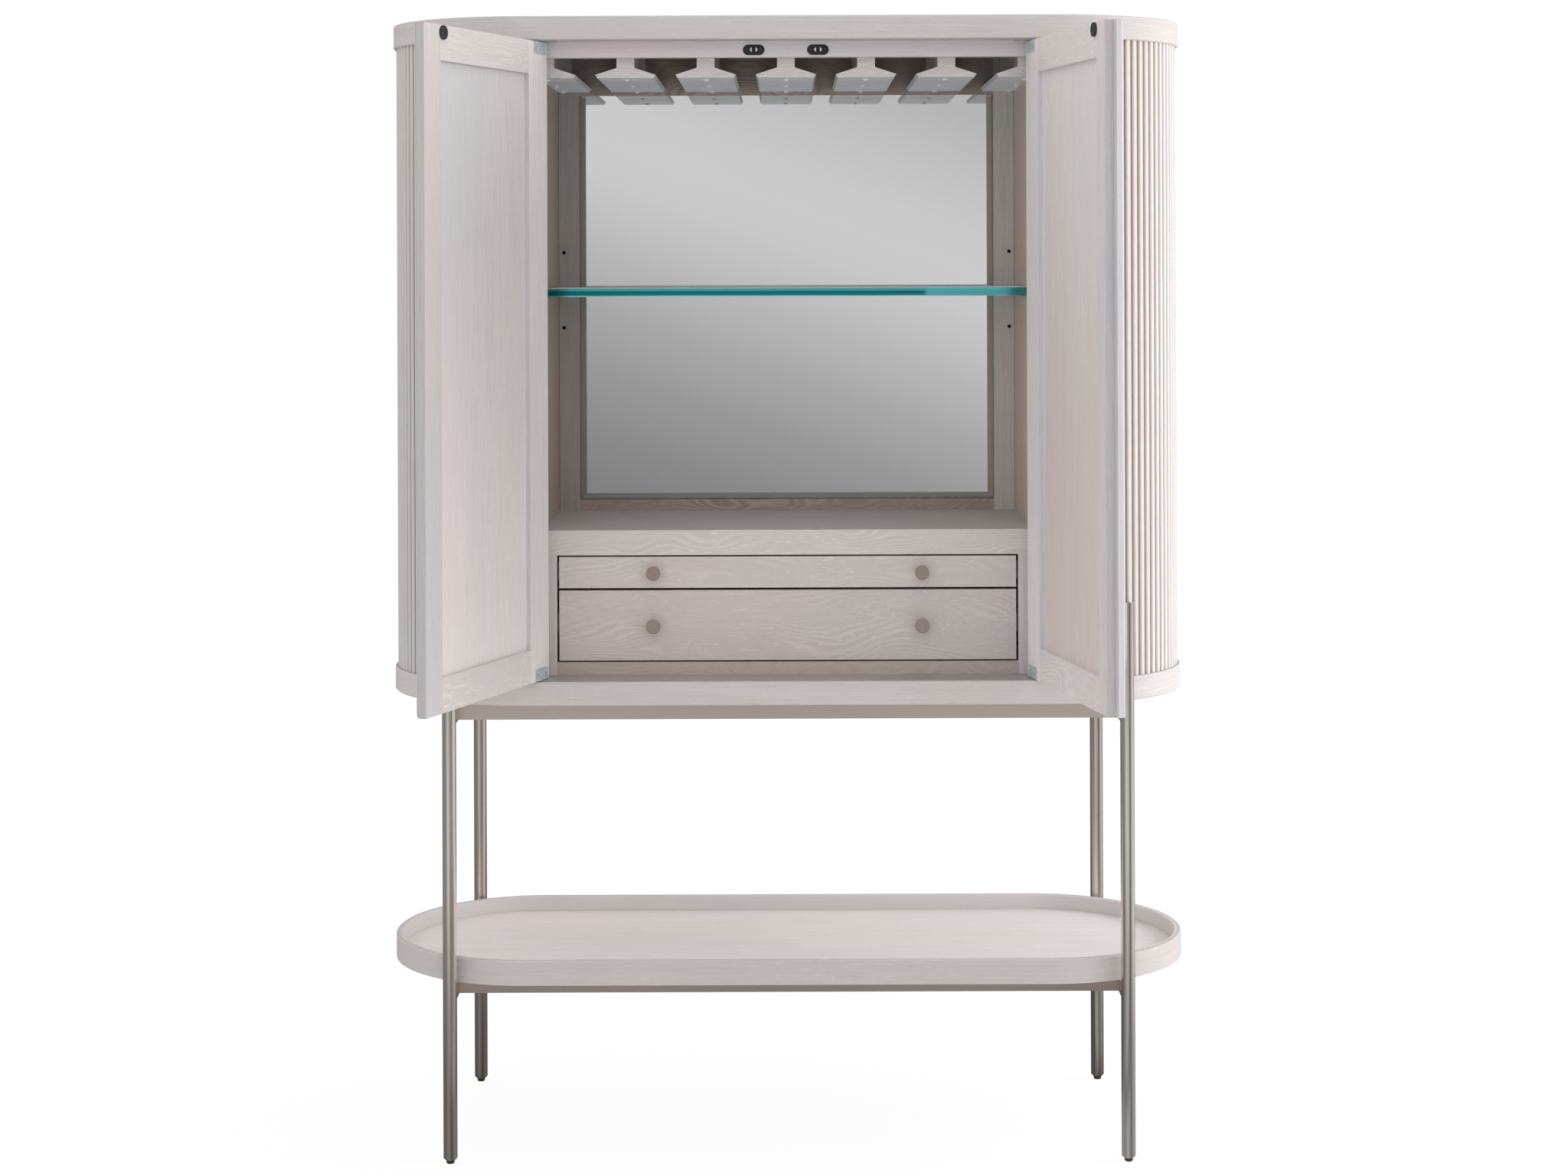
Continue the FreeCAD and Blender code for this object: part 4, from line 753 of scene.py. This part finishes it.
def addPiece(name, parts, material, body, replaced=()):
    # One mesh from several closed grids of points, each rows by columns and closed round its columns
    points, faces, start = [], [], 0
    for grid in parts:
        rows, columns = grid.shape[:2]
        row, column = np.meshgrid(np.arange(rows - 1), np.arange(columns), indexing="ij")
        after = (column + 1) % columns
        quads = np.stack([row * columns + column, row * columns + after, (row + 1) * columns + after,
                          (row + 1) * columns + column], axis=-1).reshape(-1, 4) + start
        caps = [list(range(start + columns - 1, start - 1, -1)),
                list(range(start + (rows - 1) * columns, start + rows * columns))]
        points.append(grid.reshape(-1, 3))
        faces += quads.tolist() + caps
        start += rows * columns
    mesh = bpy.data.meshes.new(name)
    mesh.from_pydata(np.concatenate(points).tolist(), [], faces)
    mesh.update()
    mesh.polygons.foreach_set("use_smooth", np.ones(len(mesh.polygons), dtype=bool))
    mesh.set_sharp_from_angle(angle=sharpEdge)
    mesh.materials.append(material)
    piece = bpy.data.objects.new(name, mesh)
    scene.collection.objects.link(piece)
    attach(piece, body)
    if replaced:
        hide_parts(*replaced)


def turnedGrid(profile, centre, out, sides, cross=None):
    # A profile of radius and height, turned round the axis "out" through centre. A cross recess sinks
    # the points that lie within half its width of two lines at right angles, out to its reach.
    out = np.asarray(out, float) / np.linalg.norm(out)
    side = np.cross(out, (0.0, 0.0, 1.0)) if abs(out[2]) < 0.9 else np.array([1.0, 0.0, 0.0])
    side /= np.linalg.norm(side)
    other = np.cross(out, side)
    radius, height = (np.asarray(profile, float).T)[:, :, None]
    angle = np.arange(sides) * 2 * math.pi / sides
    x, y = radius * np.cos(angle), radius * np.sin(angle)
    height = height + 0 * x
    if cross:
        inLine = (np.minimum(abs(x), abs(y)) < cross["half"]) & (np.hypot(x, y) < cross["reach"])
        height = height - inLine * cross["deep"]
    return np.asarray(centre) + x[..., None] * side + y[..., None] * other + height[..., None] * out


def clusterCentres(name, spread):
    # The middles of a node's separate small solids, told apart by gaps wider than spread
    mesh = cabinet[name].data
    flat = np.empty(len(mesh.vertices) * 3, dtype=np.float32)
    mesh.vertices.foreach_get("co", flat)
    points = flat.reshape(-1, 3)
    found = []
    while len(points):
        near = np.linalg.norm(points[:, :2] - points[0, :2], axis=1) < spread
        found.append((points[near].max(axis=0) + points[near].min(axis=0)) / 2)
        points = points[~near]
    return np.array(found)


# As shares of a screw head's radius and rise: its cross recess, and how far round the dome its rings go
screwShape = {"skirt": 0.0004, "rings": 8, "arc": 1.45, "slotHalf": 0.17, "slotReach": 0.62, "slotDeep": 0.45}


def screwHead(centre, out, radius, rise):
    # From the seat's rim up over the dome to a small ring round the middle, all closed
    s = screwShape
    arc = np.linspace(0.0, s["arc"], s["rings"])
    profile = [(radius, -s["skirt"]), *((radius * math.cos(a), rise * math.sin(a)) for a in arc)]
    cross = {"half": radius * s["slotHalf"], "reach": radius * s["slotReach"], "deep": rise * s["slotDeep"]}
    return turnedGrid(profile, centre, out, 24, cross)


# Screws under the stemware rails: domed heads, three to a rail, painted plain white as a painted highlight in place
# of their metal's shine
stemScrew = (0.0041, 0.0031)
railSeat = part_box("wine_glass_rails")[0][2]
heads = [screwHead((x, y, railSeat), (0, 0, -1), *stemScrew) for x, y, _ in clusterCentres("wine_rail_screws", 0.008)]
addPiece("stemRailScrews", heads, plainMaterial("highlightWhiteScrew", (0.950, 0.955, 0.950), 0.30), "cabinet",
         ["wine_rail_screws"])


def doorPlace(side, along, out, height):
    # A place on a door, given closed from its pivot, turned open with it
    joint = hingeJoints[side + "_door_hinge"]
    opened = math.radians(joint["range_deg"][0]) * -joint["axis"][2]
    x = along if side == "left" else -along
    return np.array([joint["pos_m"][0] + x * math.cos(opened) - out * math.sin(opened),
                     joint["pos_m"][1] + x * math.sin(opened) + out * math.cos(opened), height])


doorFittings = {
    "innerFace": 0.0110,                # from the door's middle plane
    "leafScrews": (-0.0040, 0.0210),    # along the door from the pivot
    "leafScrewDrop": 0.0090,            # from the door's end
    "leafScrew": (0.0026, 0.0006),
    "strikeAlong": 0.3090,
    # a black disc with an eased rim, a dished eye and the head of its screw in the eye: radius and height
    "strike": [(0.0095, 0.0), (0.0095, 0.0027), (0.0092, 0.0033), (0.0087, 0.0035), (0.0040, 0.0035),
               (0.0034, 0.0032), (0.0029, 0.0026), (0.0027, 0.0026), (0.0024, 0.0031), (0.0016, 0.0032),
               (0.0009, 0.0032), (0.0004, 0.0032)],
    "strikeCross": {"half": 0.00045, "reach": 0.0018, "deep": 0.0006},
}
screwZinc = metalMaterial("screwZinc", **metals["steel"], stretch=(500.0, 500.0, 500.0))
for side in ("left", "right"):
    f = doorFittings
    inward = doorPlace(side, 0.0, 1.0, 0.0) - doorPlace(side, 0.0, 0.0, 0.0)
    low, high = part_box(side + "_door_stiles")
    places = [doorPlace(side, along, f["innerFace"], height) for along in f["leafScrews"]
              for height in (low[2] + f["leafScrewDrop"], high[2] - f["leafScrewDrop"])]
    addPiece(side + "LeafScrews", [screwHead(place, inward, *f["leafScrew"]) for place in places],
             screwZinc, side + "_door")
    low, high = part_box(side + "_door_strike")
    seat = doorPlace(side, f["strikeAlong"], f["innerFace"], (low[2] + high[2]) / 2)
    addPiece(side + "StrikeDisc", [turnedGrid(f["strike"], seat, inward, 40, f["strikeCross"])],
             strikeBlack, side + "_door", [side + "_door_strike"])

# The catches' poles, two half-moon plates in each, and their fixing screws
catchLow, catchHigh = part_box("magnetic_catches")
poleLow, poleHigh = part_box("catch_poles")
catchWide = 0.031
catches = {
    "middles": [side * (catchHigh[0] - catchLow[0] - catchWide) / 2 for side in (-1, 1)],
    "height": (catchLow[2] + catchHigh[2]) / 2,
    "poleFlat": 0.0026,             # from the catch's middle to a pole's flat side
    "poleBow": (0.0029, 0.0026),    # from the catch's middle to the bowed side, and its bulge
    "poleHalf": 0.0034,
    "poleSeat": 0.0002,             # how far a pole reaches into its catch
    "screwAside": 0.0100,
    "screw": (0.0016, 0.0005),
}


def halfMoon(middle, way, c, columns=20):
    # A flat side and a bowed one: half of the points run down the flat side, half back along a sine
    share = np.linspace(0.0, 1.0, columns // 2, endpoint=False)
    near, bulge = c["poleBow"]
    flat = np.column_stack([np.full(columns // 2, c["poleFlat"]), c["poleHalf"] * (1 - 2 * share)])
    bow = np.column_stack([near + bulge * np.sin(math.pi * share), c["poleHalf"] * (2 * share - 1)])
    ring = np.concatenate([flat, bow])[::way]
    grid = np.empty((2, columns, 3))
    grid[..., 0] = middle + way * ring[:, 0]
    grid[..., 1] = np.array([[poleHigh[1] + c["poleSeat"]], [poleLow[1]]])
    grid[..., 2] = c["height"] + ring[:, 1]
    return grid


addPiece("catchPoles", [halfMoon(middle, way, catches) for middle in catches["middles"] for way in (-1, 1)],
         metalMaterial("poleSteel", **metals["steel"], stretch=(700.0, 700.0, 60.0)), "cabinet",
         ["catch_poles"])
places = [(middle + way * catches["screwAside"], catchLow[1], catches["height"])
          for middle in catches["middles"] for way in (-1, 1)]
addPiece("catchScrews", [screwHead(place, (0, -1, 0), *catches["screw"]) for place in places],
         metalMaterial("catchScrewSteel", **metals["dark"]), "cabinet")

# Two screws in each pivot plate, on the face that the open door leaves free
plateLow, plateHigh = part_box("hinge_plates")
plates = {"side": 0.337, "rows": (0.0055, 0.0165), "screw": (0.0024, 0.0005), "thick": 0.0016}
heads = [screwHead((way * plates["side"], plateLow[1] + row, height), (0, 0, up), *plates["screw"])
         for way in (-1, 1) for row in plates["rows"]
         for height, up in ((plateLow[2] + plates["thick"], 1), (plateHigh[2] - plates["thick"], -1))]
addPiece("plateScrews", heads, screwZinc, "cabinet")

# The glides' feet: domed plastic under a threaded stud
glides = {
    "foot": [(0.0039, 0.0), (0.0049, 0.0003), (0.0056, 0.0011), (0.0060, 0.0023), (0.0060, 0.0031), (0.0056, 0.0042),
             (0.0046, 0.0049), (0.0034, 0.0052)],
    "threadStart": 0.0053,
    "crest": 0.0029,
    "root": 0.0026,
    "pitch": 0.0010,
}
for corner in ("front_left", "front_right", "back_left", "back_right"):
    low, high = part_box(corner + "_glide")
    axis = ((low[0] + high[0]) / 2, (low[1] + high[1]) / 2, low[2])
    turns = np.arange(glides["threadStart"], high[2] - low[2], glides["pitch"] / 2)
    ridge = np.where(np.arange(len(turns)) % 2, glides["crest"], glides["root"])
    depth, side = corner.split("_")
    addPiece(depth + side.capitalize() + "Glide",
             [turnedGrid(glides["foot"] + list(zip(ridge, turns)), axis, (0, 0, 1), 28)],
             glidePlastic, corner + "_glide_foot", [corner + "_glide"])
print("small fittings made")

print("scene ready")
